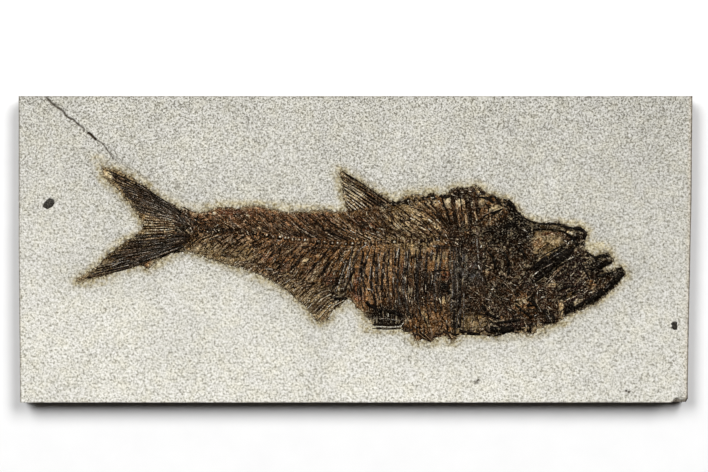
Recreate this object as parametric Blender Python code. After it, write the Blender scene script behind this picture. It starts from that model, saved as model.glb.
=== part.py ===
"""A fossil fish, a large ray-finned herring relative, in a sawn slab of pale limestone.

The slab lies on its flat back and the fish faces up. X runs from the tail to the head,
Y from the belly to the back and Z up out of the stone. The origin is at the middle of
the underside. The plan was drawn over a straight-down view of the piece, so its points
are in that view's pixels, and plan_point turns them into metres.
"""

import math

import bmesh
import bpy
from mathutils import Vector
from mathutils.geometry import delaunay_2d_cdt

# Driving dimensions, in metres
SLAB_LENGTH = 0.5055
SLAB_THICKNESS = 0.016
SLAB_EDGE_WEAR = 0.0009
RIM_RISE = 0.0005
RIM_SLOPE = 0.0015
RIM_ROOT = 0.0005
CRACK_WIDTH = 0.0012
CRACK_DEPTH = 0.0016
CHIP_DEPTH = 0.014
CHIP_LIP = 0.001
CHIP_OVERRUN = 0.006
CUTTER_CLEAR = 0.002
POCKET_DEPTH = 0.0010
SEAT_GAP = 0.0003
WALL_GAP = 0.00035
FILM_PROUD = 0.0005
BODY_SWELL = 0.0009
SWELL_REACH = 0.014
VERTEBRA_RISE = 0.0010
SPINE_RISE = 0.0007
RIB_RISE = 0.0010
RAY_RISE = 0.0006
ORBIT_SINK = 0.0006
SCUTE_RISE = 0.0009
SHOULDER_RISE = 0.0011
FLAKE_PROUD = 0.0007
FLAKE_SHOULDER = 0.0002
FLAKE_BEVEL = 0.0009
FLAKE_POCKET = 0.0007
CLOSEST_POINTS = 0.0007
EDGE_MARGIN = 0.0010

# Counts
VERTEBRAE = 42
RIBS = 18
DORSAL_RAYS = 9
ANAL_RAYS = 15
UPPER_LOBE_RAYS = 9
LOWER_LOBE_RAYS = 8
ORBIT_SIDES = 14

# The plan view, in its own pixels
SLAB_LEFT, SLAB_RIGHT = 18.5, 692.5
SLAB_BACK, SLAB_FRONT = 96.0, 402.6
PIXEL = SLAB_LENGTH / (SLAB_RIGHT - SLAB_LEFT)
TOP = SLAB_THICKNESS

SLAB_CORNERS = [
    (18.5, 96.0), (692.5, 96.3), (691.6, 200.0), (690.0, 275.0), (688.4, 350.0),
    (687.7, 402.2), (20.0, 402.6), (18.6, 250.0),
]
CHIP_EDGE = [(671.0, 402.8), (676.5, 398.0), (682.0, 399.6), (689.5, 398.6)]
CRACKS = [
    [
        (42.5, 94.0), (48.0, 99.5), (55.0, 105.0), (64.0, 112.0), (73.5, 120.0), (83.8, 129.4),
        (84.6, 134.0),
    ],
    [(88.4, 132.4), (94.0, 138.5), (102.0, 144.3), (107.0, 149.8), (110.0, 154.5)],
]
LEFT_FLAKE = [
    (49.1, 197.9), (54.0, 199.5), (54.5, 203.0), (52.7, 206.3), (47.3, 209.1), (42.5, 206.3),
    (44.3, 202.4),
]
RIGHT_FLAKE = [
    (672.9, 321.6), (676.9, 321.8), (677.3, 329.5), (673.9, 329.7), (671.0, 327.5),
    (672.6, 325.4), (670.6, 323.9),
]

# The low rim of rock left round the fish
RIM_EDGE = [
    (89, 162), (91, 156), (98, 154.5), (105, 158), (113, 163), (124, 167), (136, 172), (148, 180.5),
    (160, 189.5), (171, 197), (183, 202.5), (197, 205), (212, 203.5), (228, 202), (256, 200.5),
    (272, 202.5), (290, 205), (312, 205), (328, 205.5), (337, 205.5), (338.5, 197), (335.5, 184),
    (332.5, 172), (333.5, 165), (340, 164), (349, 168), (362, 176), (376, 184.5), (388, 191.5),
    (396, 194.5), (402, 191), (414, 188.5), (430, 187), (445, 187), (453, 182.5), (465, 180.5),
    (479, 181.5), (491, 187), (503, 193), (513, 196.5), (521, 205), (531, 213.5), (542, 217.5),
    (557, 218), (571, 220.5), (583, 223), (592, 229), (594, 238), (604, 243.5), (613, 248),
    (618, 254), (622, 261), (630, 266), (632, 274), (627, 282), (618, 291), (609, 300), (599, 307),
    (585, 314), (572, 320), (562, 326.5), (549, 331.5), (538, 338), (520, 339), (500, 341.5),
    (480, 340.5), (466, 341), (456, 346.5), (443, 344), (430, 347.5), (415, 346), (404, 339.5),
    (397, 334), (380, 334.5), (363, 333.5), (357, 326), (356.5, 317), (351, 310.5), (345, 309.5),
    (338, 316), (331, 325), (320, 328.5), (310, 322), (299, 309.5), (287, 300.5), (275, 293.5),
    (258, 285), (240, 276), (220, 267.5), (202, 260), (187, 256.5), (173, 260.5), (161, 267),
    (151, 274), (139, 271.5), (122, 276), (104, 282), (88, 287.5), (76, 287.5), (70.5, 282),
    (76, 274.5), (86, 267), (97, 257.5), (107, 248), (119, 240.5), (130, 233.5), (136.5, 227.5),
    (133.5, 219), (126, 208), (115, 196), (103.5, 185), (96, 174),
]

# The fish's outline, one stretch after another, from the tail's upper tip round by the back
TAIL_UPPER_EDGE = [
    (102.5, 166.5), (112, 169), (120, 171.5), (130, 176.5), (140, 183), (150, 189.5), (160, 197.5),
    (170, 203.5), (180, 207.5), (190, 210),
]
BACK_EDGE = [
    (190, 210), (197, 212.5), (204, 212.5), (212, 209.5), (220, 207.5), (236, 208), (250, 206),
    (262, 207), (276, 209.5), (290, 212), (308, 211.5), (326, 210), (335, 212), (347, 209.5),
]
DORSAL_REAR_EDGE = [(347, 209.5), (345, 202), (343, 192), (341.5, 181), (339.5, 170)]
DORSAL_LEADING_EDGE = [
    (339.5, 170), (349, 174.5), (362, 182.5), (376, 191.5), (388, 198.5), (394, 202),
]
HUMP_EDGE = [
    (394, 202), (402, 199), (408, 195), (418, 195), (426, 195), (432, 192.5), (439, 194.5),
    (448, 193), (453, 188), (461, 187), (467, 188), (473, 186), (480, 187.5), (487, 191.5),
    (495, 196.5), (501, 199), (507, 199),
]
HEAD_TOP_EDGE = [
    (507, 199), (513, 203.5), (519, 211), (526, 217.5), (534, 221.5), (543, 223), (556, 223),
    (565, 224.5), (571, 227.5), (579, 227.5), (585, 230.5), (586.8, 235),
]
SNOUT_EDGE = [(586.8, 235), (584.8, 242), (584.5, 249), (588.5, 251), (593, 254.5), (597, 256)]
UPPER_JAW_EDGE = [(597, 256), (602, 253.5), (608, 252.8), (614, 260.4), (608, 266), (603.5, 270.8)]
LOWER_JAW_TIP = [(603.5, 270.8), (612, 269.5), (621.5, 267), (625.5, 273.5)]
CHIN_EDGE = [
    (625.5, 273.5), (620, 281), (613.5, 288.5), (607, 295), (598, 302.3), (587, 307.8), (576, 312.5),
    (566, 317.5), (558, 321.5), (555, 324.5),
]
THROAT_EDGE = [
    (555, 324.5), (546, 326), (539, 329), (532.5, 334), (520, 333), (508, 333.5), (500, 336),
    (485, 335.5), (470, 334.5),
]
BELLY_EDGE = [
    (470, 334.5), (462, 336), (456, 338.5), (451, 341.5), (446, 336.5), (438, 338), (430, 342),
    (424, 339.5), (416, 341), (411, 335), (404, 330.5), (400, 328.5),
]
PELVIC_EDGE = [(400, 328.5), (385, 328), (375, 328), (371, 321.5), (366.5, 317)]
VENT_EDGE = [(366.5, 317), (362.5, 311.5), (355, 306.5), (349, 298.8)]
ANAL_LEADING_EDGE = [(349, 298.8), (341, 305), (334, 310), (327, 319), (319.5, 321.8)]
ANAL_REAR_EDGE = [
    (319.5, 321.8), (313, 315.5), (305, 306), (296, 298), (285, 290), (275, 282.5), (262, 275.5),
    (250, 270.5), (240, 267), (228, 264.5), (215, 260.5), (203, 256), (193, 253.5), (185, 252),
]
TAIL_LOWER_EDGE = [
    (185, 252), (172, 253.5), (161, 258), (154, 265), (147.5, 269), (142, 265), (130, 267),
    (118, 270.5), (106, 275), (93, 279), (76, 282),
]
TAIL_FORK_LOWER = [
    (76, 282), (83, 275), (92, 269.5), (102, 261), (110, 252.5), (123, 244), (134, 235.5),
    (142, 228.5),
]
TAIL_FORK_UPPER = [
    (142, 228.5), (140.5, 219), (134, 209.5), (124, 197.5), (112, 184.5), (102.5, 174),
    (102.5, 166.5),
]
FISH_STRETCHES = [
    TAIL_UPPER_EDGE, BACK_EDGE, DORSAL_REAR_EDGE, DORSAL_LEADING_EDGE, HUMP_EDGE, HEAD_TOP_EDGE,
    SNOUT_EDGE, UPPER_JAW_EDGE, LOWER_JAW_TIP, CHIN_EDGE, THROAT_EDGE, BELLY_EDGE, PELVIC_EDGE,
    VENT_EDGE, ANAL_LEADING_EDGE, ANAL_REAR_EDGE, TAIL_LOWER_EDGE, TAIL_FORK_LOWER, TAIL_FORK_UPPER,
]

# Lines that the skeleton follows
BACKBONE = [
    (192, 231.5), (217, 231.6), (246, 232.8), (277, 237.4), (308, 240.8), (330, 242.8), (349, 243.6),
    (370, 243.4), (391, 241.6), (422, 240.6), (438, 238.4), (456, 234.8), (471, 233),
]
NEURAL_REACH = [
    (170, 213), (200, 216.5), (250, 211), (300, 215), (345, 216), (400, 212), (412, 214), (440, 231),
]
NEURAL_LEAN = [(190, 52), (250, 48), (330, 52), (400, 50), (440, 34)]
HAEMAL_REACH = [
    (170, 243), (200, 247), (225, 253), (251, 257), (269, 263), (295, 274), (320, 284), (350, 294),
]
HAEMAL_LEAN = [(190, 60), (230, 55), (300, 46), (352, 36)]
BELLY_REACH = [
    (345, 292), (352, 298), (360, 303), (372, 311), (400, 317), (416, 327), (440, 331), (470, 328),
    (484, 318),
]
ANAL_BASE = [(345, 296.5), (320, 287), (295, 277), (269, 266), (246, 260.5)]
ANAL_TIPS = [(323, 317.5), (311, 310.5), (296, 295.5), (270, 278), (228, 263)]
DORSAL_BASE = [(390, 203.5), (372, 206.5), (354, 211)]
DORSAL_TIPS = [(343.5, 174), (343.5, 184), (345.5, 194), (349, 203)]
UPPER_LOBE_HUB, LOWER_LOBE_HUB = Vector((196, 222)), Vector((202, 239))
UPPER_LOBE_TIPS = [
    (105.5, 169.5), (107, 175), (117, 186.5), (128, 199.5), (139, 213.5), (143.5, 222.5),
]
LOWER_LOBE_TIPS = [(144.5, 231.5), (133, 239), (120, 249), (109, 256.5), (98, 267), (84, 277.5)]
CLEITHRUM = [(477, 233), (478, 250), (480.5, 270), (483, 288), (488, 303), (497, 313)]
SUPRANEURALS = [
    [(413, 208), (427, 213), (443, 227)],
    [(425, 205), (438, 214), (449, 227)],
    [(441, 201), (449, 213), (456, 227)],
    [(453.5, 201), (458.5, 213), (462, 227)],
    [(465, 200), (468, 213), (470, 227)],
    [(475.5, 199), (477, 210), (478, 221)],
]
SUPRANEURAL_GAPS = [
    [(419, 205), (432, 213), (446, 227.5)],
    [(433, 202), (443, 213), (452, 227)],
    [(447.5, 201), (454, 213), (459, 227)],
    [(459.6, 201), (463.5, 213), (466, 227.5)],
    [(470, 200), (472.5, 211), (474, 222)],
]
BACK_SCUTES = [
    (401, 202.5), (409, 199.5), (417.5, 199), (426, 198.8), (434, 197.5), (442, 197.2), (450, 196.6),
    (457, 192.2), (465, 192.5), (473, 191.8), (481, 194), (489, 198.8), (497, 203), (505, 203.8),
]
BELLY_SCUTES = [
    (409, 330), (416.5, 334.5), (424, 335.5), (431.5, 337), (439, 334), (447, 332.5), (455, 334.5),
    (463, 332.2), (471, 330.8),
]

# Skull plates: the outline of each, and how far it stands out of the film
SKULL_ROOF = [
    (510, 204.5), (518, 213), (526, 219.5), (534, 223.5), (545, 225), (557, 225), (566, 228), (576, 229.5),
    (584, 233), (582, 240), (574, 237.5), (564, 232.5), (548, 231), (534, 230), (523, 223), (513, 214),
]
BRAINCASE = [
    (495, 214), (505, 213), (515, 219.5), (526, 228), (529, 238), (520, 244.5), (506, 242.5),
    (494, 236.5), (488, 226),
]
EYE_BAR = [
    (529, 266), (540, 259.5), (551, 254), (562, 247.5), (572, 243), (581, 244.5), (582, 253), (572, 260),
    (560, 265.5), (549, 275), (537, 283.5), (529, 278),
]
GILL_COVER = [
    (486, 246), (496, 242), (509, 247), (520, 252), (525.5, 264), (524, 279), (519, 292), (505, 299),
    (492, 295), (485.5, 280), (484.5, 262),
]
CHEEK = [
    (542, 289), (552, 278), (563, 270), (576, 264), (586, 264), (591, 272), (588, 284), (577, 293),
    (561, 301), (548, 300),
]
UPPER_JAW = [(587, 254), (595, 259), (601, 256), (606.5, 255), (611, 260), (605, 265), (598, 268), (590, 262)]
LOWER_JAW = [
    (607, 273.5), (620, 269.5), (622.5, 273.5), (612, 285), (603, 295), (592, 302), (578, 308), (567, 314),
    (566, 307), (580, 298), (592, 290), (600, 281),
]
THROAT_BAR = [
    (489, 327), (497, 321), (512, 317.5), (524, 316.5), (531, 324), (526, 330), (510, 330.5),
    (497, 332.5),
]
JAW_JOINT = [(546.5, 309), (551, 312.5), (552.8, 321), (547, 322.5), (544.5, 315)]
GILL_HINGE = [(506, 307), (519, 301.5), (532, 296), (539, 303), (535, 311.5), (523, 310), (511, 312.5)]
SKULL_PLATES = [
    (SKULL_ROOF, 0.0014), (BRAINCASE, 0.0010), (EYE_BAR, 0.0014), (GILL_COVER, 0.0008),
    (CHEEK, 0.0007), (UPPER_JAW, 0.0012), (LOWER_JAW, 0.0013), (THROAT_BAR, 0.0010),
    (JAW_JOINT, 0.0013), (GILL_HINGE, 0.0007),
]
PLATE_BEVEL = 1.7
ORBIT_CENTRE = Vector((548, 242.5))
ORBIT_HALF_LENGTH, ORBIT_HALF_HEIGHT = 10.5, 8.5

# Sizes and spacings on the plan, in its pixels
SPINE_STEP = 5.0
RIB_STEP = 6.5
RAY_STEP = 6.0
RIB_FIRST, RIB_PITCH, RIB_SPREAD, RIB_LEAN, RIB_BOW = 359.0, 6.6, 0.35, 7.0, 4.0
VERTEBRA_HALF_HEIGHT = 2.5
SPINE_ROOT = 5.2
RIB_ROOT = 6.5
LOBE_STARTS = (16.0, 40.0, 28.0, 40.0)
PELVIC_RAYS = [((403, 321.0), (376, 321.0)), ((403, 324.8), (376, 324.8))]
CLEITHRUM_HALF_WIDTH = 2.4
SCUTE_HALF_LENGTH, SCUTE_UP, SCUTE_DOWN = 3.4, 1.6, 2.6

# Colours as (red, green, blue), and roughness
LIMESTONE = ((0.640, 0.618, 0.545), 0.92)
FOSSIL_BONE = ((0.078, 0.050, 0.028), 0.55)
DARK_FLAKE = ((0.038, 0.036, 0.031), 0.60)


def clear_scene():
    """Remove whatever the file opened with."""
    for thing in list(bpy.data.objects):
        bpy.data.objects.remove(thing)


def plan_point(pixel):
    """A pixel of the plan view, as metres from the slab's middle."""
    middle_x = (SLAB_LEFT + SLAB_RIGHT) / 2
    middle_y = (SLAB_BACK + SLAB_FRONT) / 2
    return Vector(((pixel[0] - middle_x) * PIXEL, (middle_y - pixel[1]) * PIXEL))


def curve_through(points, steps, closed=False):
    """Points on the smooth curve through points, with steps to each span."""
    ends = [Vector(point) for point in points]
    if closed:
        ends = [ends[-1]] + ends + ends[:2]
    else:
        ends = [2 * ends[0] - ends[1]] + ends + [2 * ends[-1] - ends[-2]]
    curve = []
    for before, start, end, after in zip(ends, ends[1:], ends[2:], ends[3:]):
        for step in range(steps):
            t = step / steps
            curve.append(
                start
                + (end - before) * (t / 2)
                + (2 * before - 5 * start + 4 * end - after) * (t * t / 2)
                + (3 * start - before - 3 * end + after) * (t ** 3 / 2)
            )
    if not closed:
        curve.append(ends[-2])
    return curve


def along(points, share):
    """The point at a share, from 0 to 1, of the length of a run of points."""
    runs = [(b - a).length for a, b in zip(points, points[1:])]
    left = share * sum(runs)
    for start, end, run in zip(points, points[1:], runs):
        if left <= run:
            return start.lerp(end, left / run)
        left -= run
    return points[-1].copy()


def height_at(points, x):
    """The y of a run of pixels at x."""
    for (x0, y0), (x1, y1) in zip(points, points[1:]):
        if x <= x1:
            return y0 + (y1 - y0) * (x - x0) / (x1 - x0)
    return points[-1][1]


def offset_loop(loop, distance, sharpest=0.55):
    """A closed loop moved sideways by distance, outwards where it is above 0.

    A corner reaches out as a mitre does, up to the share of its spread given by sharpest.
    """
    area = sum(a.cross(b) for a, b in zip(loop, loop[1:] + loop[:1]))
    side = distance if area > 0 else -distance
    moved = []
    for before, point, after in zip(loop[-1:] + loop[:-1], loop, loop[1:] + loop[:1]):
        arriving = (point - before).normalized()
        leaving = (after - point).normalized()
        bisector = (arriving + leaving).normalized()
        outward = Vector((bisector.y, -bisector.x))
        stretch = max(sharpest, outward.dot(Vector((leaving.y, -leaving.x))))
        moved.append(point + outward * (side / stretch))
    return moved


def distance_to_loop(point, loop):
    """The distance from a point to a closed loop, below 0 outside it."""
    nearest = math.inf
    inside = False
    for start, end in zip(loop, loop[1:] + loop[:1]):
        edge = end - start
        share = (point - start).dot(edge) / edge.length_squared
        nearest = min(nearest, (start + edge * max(0.0, min(1.0, share)) - point).length)
        if (start.y > point.y) != (end.y > point.y):
            crossing = start.x + edge.x * (point.y - start.y) / edge.y
            inside ^= point.x < crossing
    return nearest if inside else -nearest


def principled(name, finish):
    """A plain material with a finish's colour and roughness."""
    colour, roughness = finish
    material = bpy.data.materials.new(name)
    material.use_nodes = True
    shader = material.node_tree.nodes["Principled BSDF"]
    shader.inputs["Base Color"].default_value = (*colour, 1.0)
    shader.inputs["Roughness"].default_value = roughness
    return material


def add_object(name, mesh, material):
    """Put a bmesh in the scene as a flat-shaded object of one material."""
    data = bpy.data.meshes.new(name)
    bmesh.ops.recalc_face_normals(mesh, faces=mesh.faces)
    mesh.to_mesh(data)
    mesh.free()
    if material:
        data.materials.append(material)
    thing = bpy.data.objects.new(name, data)
    bpy.context.collection.objects.link(thing)
    return thing


def stack_of_loops(levels):
    """A closed solid through loops of equal counts, each given with its height."""
    mesh = bmesh.new()
    rows = [[mesh.verts.new((*point, height)) for point in loop] for loop, height in levels]
    for low, high in zip(rows, rows[1:]):
        for i in range(len(low)):
            j = (i + 1) % len(low)
            mesh.faces.new((low[i], low[j], high[j], high[i]))
    mesh.faces.new(rows[0])
    mesh.faces.new(rows[-1])
    return mesh


def cut(target, cutter, operation="DIFFERENCE"):
    """Join a cutter to a target, or take it away, and hide the cutter."""
    boolean = target.modifiers.new(cutter.name, "BOOLEAN")
    boolean.operation = operation
    boolean.solver = "EXACT"
    boolean.object = cutter
    cutter.hide_render = True
    cutter.display_type = "WIRE"


def crack_cutter(name, pixels):
    """A tapering V-shaped wedge down a run of the slab's face."""
    run = [plan_point(pixel) for pixel in pixels]
    far_taper = 0.6
    lip_share = (CRACK_DEPTH + CUTTER_CLEAR) / CRACK_DEPTH
    mesh = bmesh.new()
    rings = []
    for i, point in enumerate(run):
        ahead = run[min(i + 1, len(run) - 1)] - run[max(i - 1, 0)]
        side = Vector((-ahead.y, ahead.x)).normalized()
        taper = 1.0 - far_taper * i / (len(run) - 1)
        reach = side * (CRACK_WIDTH / 2 * taper * lip_share)
        rings.append([
            mesh.verts.new((*(point - reach), TOP + CUTTER_CLEAR)),
            mesh.verts.new((*(point + reach), TOP + CUTTER_CLEAR)),
            mesh.verts.new((*point, TOP - CRACK_DEPTH * taper)),
        ])
    for near, far in zip(rings, rings[1:]):
        for i in range(3):
            j = (i + 1) % 3
            mesh.faces.new((near[i], near[j], far[j], far[i]))
    mesh.faces.new(rings[0])
    mesh.faces.new(rings[-1])
    return add_object(name, mesh, None)


def chip_cutter():
    """The broken bite at the front right corner, deepest at the slab's outside."""
    edge = [plan_point(pixel) for pixel in CHIP_EDGE]
    front = edge[0].y - CHIP_OVERRUN
    outside = [Vector((edge[0].x, front)), Vector((edge[-1].x + CUTTER_CLEAR, front))]
    mesh = bmesh.new()
    for point in edge + outside:
        mesh.verts.new((*point, TOP + CUTTER_CLEAR))
    for point in edge:
        mesh.verts.new((*point, TOP - CHIP_LIP))
    for point in outside:
        mesh.verts.new((*point, TOP - CHIP_DEPTH))
    hull = bmesh.ops.convex_hull(mesh, input=mesh.verts)
    bmesh.ops.delete(mesh, geom=hull["geom_interior"], context="VERTS")
    return add_object("chip_cutter", mesh, None)


def pocket_cutter(name, loop, depth):
    """The room that a piece needs in the rock, with a gap all round."""
    wall = offset_loop(loop, WALL_GAP)
    return add_object(name, stack_of_loops([(wall, TOP - depth), (wall, TOP + CUTTER_CLEAR)]), None)


def make_slab(fish_loop, flake_loops):
    """The stone: a worn sawn plate with its rim, crack, chip and the pockets of the fossils."""
    corners = [plan_point(pixel) for pixel in SLAB_CORNERS]
    worn = offset_loop(corners, -SLAB_EDGE_WEAR)
    mesh = stack_of_loops([(corners, 0.0), (corners, TOP - SLAB_EDGE_WEAR), (worn, TOP)])
    slab = add_object("limestone_slab", mesh, principled("limestone", LIMESTONE))
    rim_foot = [plan_point(pixel) for pixel in RIM_EDGE]
    rim_top = offset_loop(rim_foot, -RIM_SLOPE)
    rim_stone = stack_of_loops([(rim_foot, TOP - RIM_ROOT), (rim_top, TOP + RIM_RISE)])
    cut(slab, add_object("rim_stone", rim_stone, None), "UNION")
    cut(slab, pocket_cutter("fish_pocket", fish_loop, POCKET_DEPTH))
    for i, loop in enumerate(flake_loops):
        cut(slab, pocket_cutter(f"flake_pocket_{i}", loop, FLAKE_POCKET))
    for i, pixels in enumerate(CRACKS):
        cut(slab, crack_cutter(f"crack_{i}", pixels))
    cut(slab, chip_cutter())
    return slab


def make_flake(name, loop):
    """A loose dark flake of fossil, seated in the rock, with a sloped edge."""
    base = TOP - FLAKE_POCKET + SEAT_GAP
    crown = offset_loop(loop, -FLAKE_BEVEL)
    mesh = stack_of_loops([(loop, base), (loop, TOP + FLAKE_SHOULDER), (crown, TOP + FLAKE_PROUD)])
    return add_object(name, mesh, principled("dark_flake", DARK_FLAKE))


class Relief:
    """A low relief over an outline: points and crest lines that its top face runs through."""

    def __init__(self, outline):
        self.outline = outline
        self.points = [point.copy() for point in outline]
        self.heights = [TOP + FILM_PROUD] * len(outline)
        self.lines = []
        self.cells = {}
        for i, point in enumerate(outline):
            self.cells.setdefault(self.cell(point), []).append(i)

    def cell(self, point):
        """The square of the search grid that holds a point."""
        return (math.floor(point.x / CLOSEST_POINTS), math.floor(point.y / CLOSEST_POINTS))

    def crowded(self, point):
        """True where another point is already too near."""
        column, row = self.cell(point)
        for i in range(column - 1, column + 2):
            for j in range(row - 1, row + 2):
                for other in self.cells.get((i, j), []):
                    if (self.points[other] - point).length < CLOSEST_POINTS:
                        return True
        return False

    def add_point(self, pixel, rise):
        """Add one point at a height over the body's own swell, if there is room for it."""
        point = plan_point(pixel)
        depth = distance_to_loop(point, self.outline)
        if depth < EDGE_MARGIN or self.crowded(point):
            return None
        swell = BODY_SWELL * (1.0 - math.exp(-depth / SWELL_REACH))
        self.points.append(point)
        self.heights.append(TOP + FILM_PROUD + swell + rise)
        self.cells.setdefault(self.cell(point), []).append(len(self.points) - 1)
        return len(self.points) - 1

    def add_line(self, pixels, rises, closed=False):
        """Add a run of points, joined where neighbours both found room."""
        found = [self.add_point(pixel, rise) for pixel, rise in zip(pixels, rises)]
        if closed:
            found.append(found[0])
        for start, end in zip(found, found[1:]):
            if start is not None and end is not None and start != end:
                self.lines.append((start, end))

    def solid(self, underside):
        """The closed solid: relief above, walls round the outline, flat below."""
        count = len(self.outline)
        result = delaunay_2d_cdt(self.points, self.lines, [list(range(count))], 0, 1e-7, True)
        spots, _, triangles, sources, _, insides = result
        mesh = bmesh.new()
        tops = []
        for spot, source in zip(spots, sources):
            height = self.heights[source[0]] if source else TOP
            tops.append(mesh.verts.new((*spot, height)))
        for triangle, inside in zip(triangles, insides):
            if inside:
                mesh.faces.new([tops[i] for i in triangle])
        for vertex, source in zip(tops, sources):
            if not source:
                # A point where two crest lines cross takes the height of the taller one
                vertex.co.z = max(edge.other_vert(vertex).co.z for edge in vertex.link_edges)
        ring = [None] * count
        for vertex, source in zip(tops, sources):
            for index in source:
                if index < count:
                    ring[index] = vertex
        feet = [mesh.verts.new((vertex.co.x, vertex.co.y, underside)) for vertex in ring]
        for i in range(count):
            j = (i + 1) % count
            mesh.faces.new((ring[i], ring[j], feet[j], feet[i]))
        mesh.faces.new(feet)
        return mesh


def even_run(start, end, spacing):
    """Pixels from start to end, about spacing apart."""
    start, end = Vector(start), Vector(end)
    steps = max(1, round((end - start).length / spacing))
    return [start.lerp(end, i / steps) for i in range(steps + 1)]


def tapered(count, rise, tip=0.6):
    """Heights that fall from rise to a share of it at the tip."""
    return [rise * (1 - (1 - tip) * i / max(1, count - 1)) for i in range(count)]


def slanted_run(base, lean_line, reach_line, way):
    """A straight spine from its base up (way -1) or down (1) to a line, leaning to the tail."""
    lean = math.radians(height_at(lean_line, base.x))
    half_pixel = Vector((-math.sin(lean), way * math.cos(lean))) / 2
    tip = base.copy()
    while (height_at(reach_line, tip.x) - tip.y) * way > 0:
        tip += half_pixel
    return even_run(base, tip, SPINE_STEP)


def add_backbone(relief):
    """The row of vertebrae, with a spine above each and one below each behind the ribs."""
    spine_line = curve_through(BACKBONE, 6)
    halves = 2 * VERTEBRAE
    middles = [along(spine_line, i / halves) for i in range(halves + 1)]
    waist, shoulder_share = 0.35, 0.55
    crests = [VERTEBRA_RISE * (1.0 if i % 2 else waist) for i in range(halves + 1)]
    relief.add_line(middles, crests)
    for side in (-VERTEBRA_HALF_HEIGHT, VERTEBRA_HALF_HEIGHT):
        shoulder = [middle + Vector((0, side)) for middle in middles]
        relief.add_line(shoulder, [shoulder_share * crest for crest in crests])
    root = Vector((0, SPINE_ROOT))
    for i, middle in enumerate(middles):
        rise = SPINE_RISE if i % 2 else 0.0
        if middle.x < NEURAL_REACH[-1][0]:
            run = slanted_run(middle - root, NEURAL_LEAN, NEURAL_REACH, -1)
            relief.add_line(run, tapered(len(run), rise))
        if middle.x < HAEMAL_LEAN[-1][0]:
            run = slanted_run(middle + root, HAEMAL_LEAN, HAEMAL_REACH, 1)
            relief.add_line(run, tapered(len(run), rise))


def add_ribs(relief):
    """Ribs bowed towards the tail, from the backbone down to the belly."""
    for i in range(2 * RIBS - 1):
        top_x = RIB_FIRST + RIB_PITCH * i / 2
        top = Vector((top_x, height_at(BACKBONE, top_x) + RIB_ROOT))
        foot_x = top_x - RIB_LEAN + RIB_SPREAD * i / 2
        foot = Vector((foot_x, height_at(BELLY_REACH, foot_x)))
        run = even_run(top, foot, RIB_STEP)
        for j, point in enumerate(run):
            point.x -= RIB_BOW * math.sin(math.pi * j / (len(run) - 1))
        relief.add_line(run, tapered(len(run), 0.0 if i % 2 else RIB_RISE))


def add_fan(relief, roots, tips, rays):
    """Fin rays between a root line and a tip line, with the valleys between them."""
    roots = [Vector(root) for root in roots]
    tips = [Vector(tip) for tip in tips]
    for i in range(2 * rays - 1):
        share = i / (2 * rays - 2)
        run = even_run(along(roots, share), along(tips, share), RAY_STEP)
        relief.add_line(run, tapered(len(run), 0.0 if i % 2 else RAY_RISE))


def add_tail(relief):
    """Two lobes of rays that spread from the end of the backbone."""
    lobes = [
        (UPPER_LOBE_HUB, UPPER_LOBE_TIPS, UPPER_LOBE_RAYS),
        (LOWER_LOBE_HUB, LOWER_LOBE_TIPS, LOWER_LOBE_RAYS),
    ]
    for hub, tips, rays in lobes:
        ends = [Vector(tip) for tip in tips]
        for i in range(2 * rays - 1):
            tip = along(ends, i / (2 * rays - 2))
            way = (tip - hub).normalized()
            run = even_run(hub + way * LOBE_STARTS[i % len(LOBE_STARTS)], tip, RAY_STEP)
            relief.add_line(run, tapered(len(run), 0.0 if i % 2 else RAY_RISE))


def add_fins(relief):
    """The back fin, the long anal fin and the small pelvic fin."""
    add_fan(relief, DORSAL_BASE, DORSAL_TIPS, DORSAL_RAYS)
    add_fan(relief, ANAL_BASE, ANAL_TIPS, ANAL_RAYS)
    for root, tip in PELVIC_RAYS:
        run = even_run(root, tip, RAY_STEP)
        relief.add_line(run, tapered(len(run), RAY_RISE))


def add_shoulder(relief):
    """The collar bone behind the gill cover, and the fan of plates in the hump."""
    crest = curve_through(CLEITHRUM, 3)
    relief.add_line(crest, tapered(len(crest), SHOULDER_RISE))
    for side in (-CLEITHRUM_HALF_WIDTH, CLEITHRUM_HALF_WIDTH):
        foot = [point + Vector((side, 0)) for point in crest]
        relief.add_line(foot, [0.0] * len(foot))
    for pixels in SUPRANEURALS:
        run = curve_through(pixels, 2)
        relief.add_line(run, [SPINE_RISE] * len(run))
    for pixels in SUPRANEURAL_GAPS:
        run = curve_through(pixels, 2)
        relief.add_line(run, [0.0] * len(run))


def add_scutes(relief):
    """Keeled bony scutes along the hump and the belly, each a low pyramid."""
    for row in (BACK_SCUTES, BELLY_SCUTES):
        for x, y in row:
            relief.add_point((x, y), SCUTE_RISE)
            left, right = x - SCUTE_HALF_LENGTH, x + SCUTE_HALF_LENGTH
            top, bottom = y - SCUTE_UP, y + SCUTE_DOWN
            corners = [(left, top), (right, top), (right, bottom), (left, bottom)]
            relief.add_line(corners, [0.0] * len(corners), closed=True)


def add_skull(relief):
    """Bone plates with sloped edges and a low crown, and the hollow of the eye."""
    crown = 1.25
    for pixels, rise in SKULL_PLATES:
        foot = curve_through(pixels, 2, closed=True)
        shoulder = offset_loop(foot, -PLATE_BEVEL)
        relief.add_line(shoulder, [rise] * len(shoulder), closed=True)
        relief.add_line(foot, [0.0] * len(foot), closed=True)
        middle = sum(foot, Vector((0, 0))) / len(foot)
        relief.add_point(middle, crown * rise)
    for share, sink in ((1.0, 0.0), (0.75, ORBIT_SINK)):
        ring = []
        for i in range(ORBIT_SIDES):
            turn = math.tau * i / ORBIT_SIDES
            reach = Vector((ORBIT_HALF_LENGTH * math.cos(turn), ORBIT_HALF_HEIGHT * math.sin(turn)))
            ring.append(ORBIT_CENTRE + share * reach)
        relief.add_line(ring, [-sink] * len(ring), closed=True)


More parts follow.
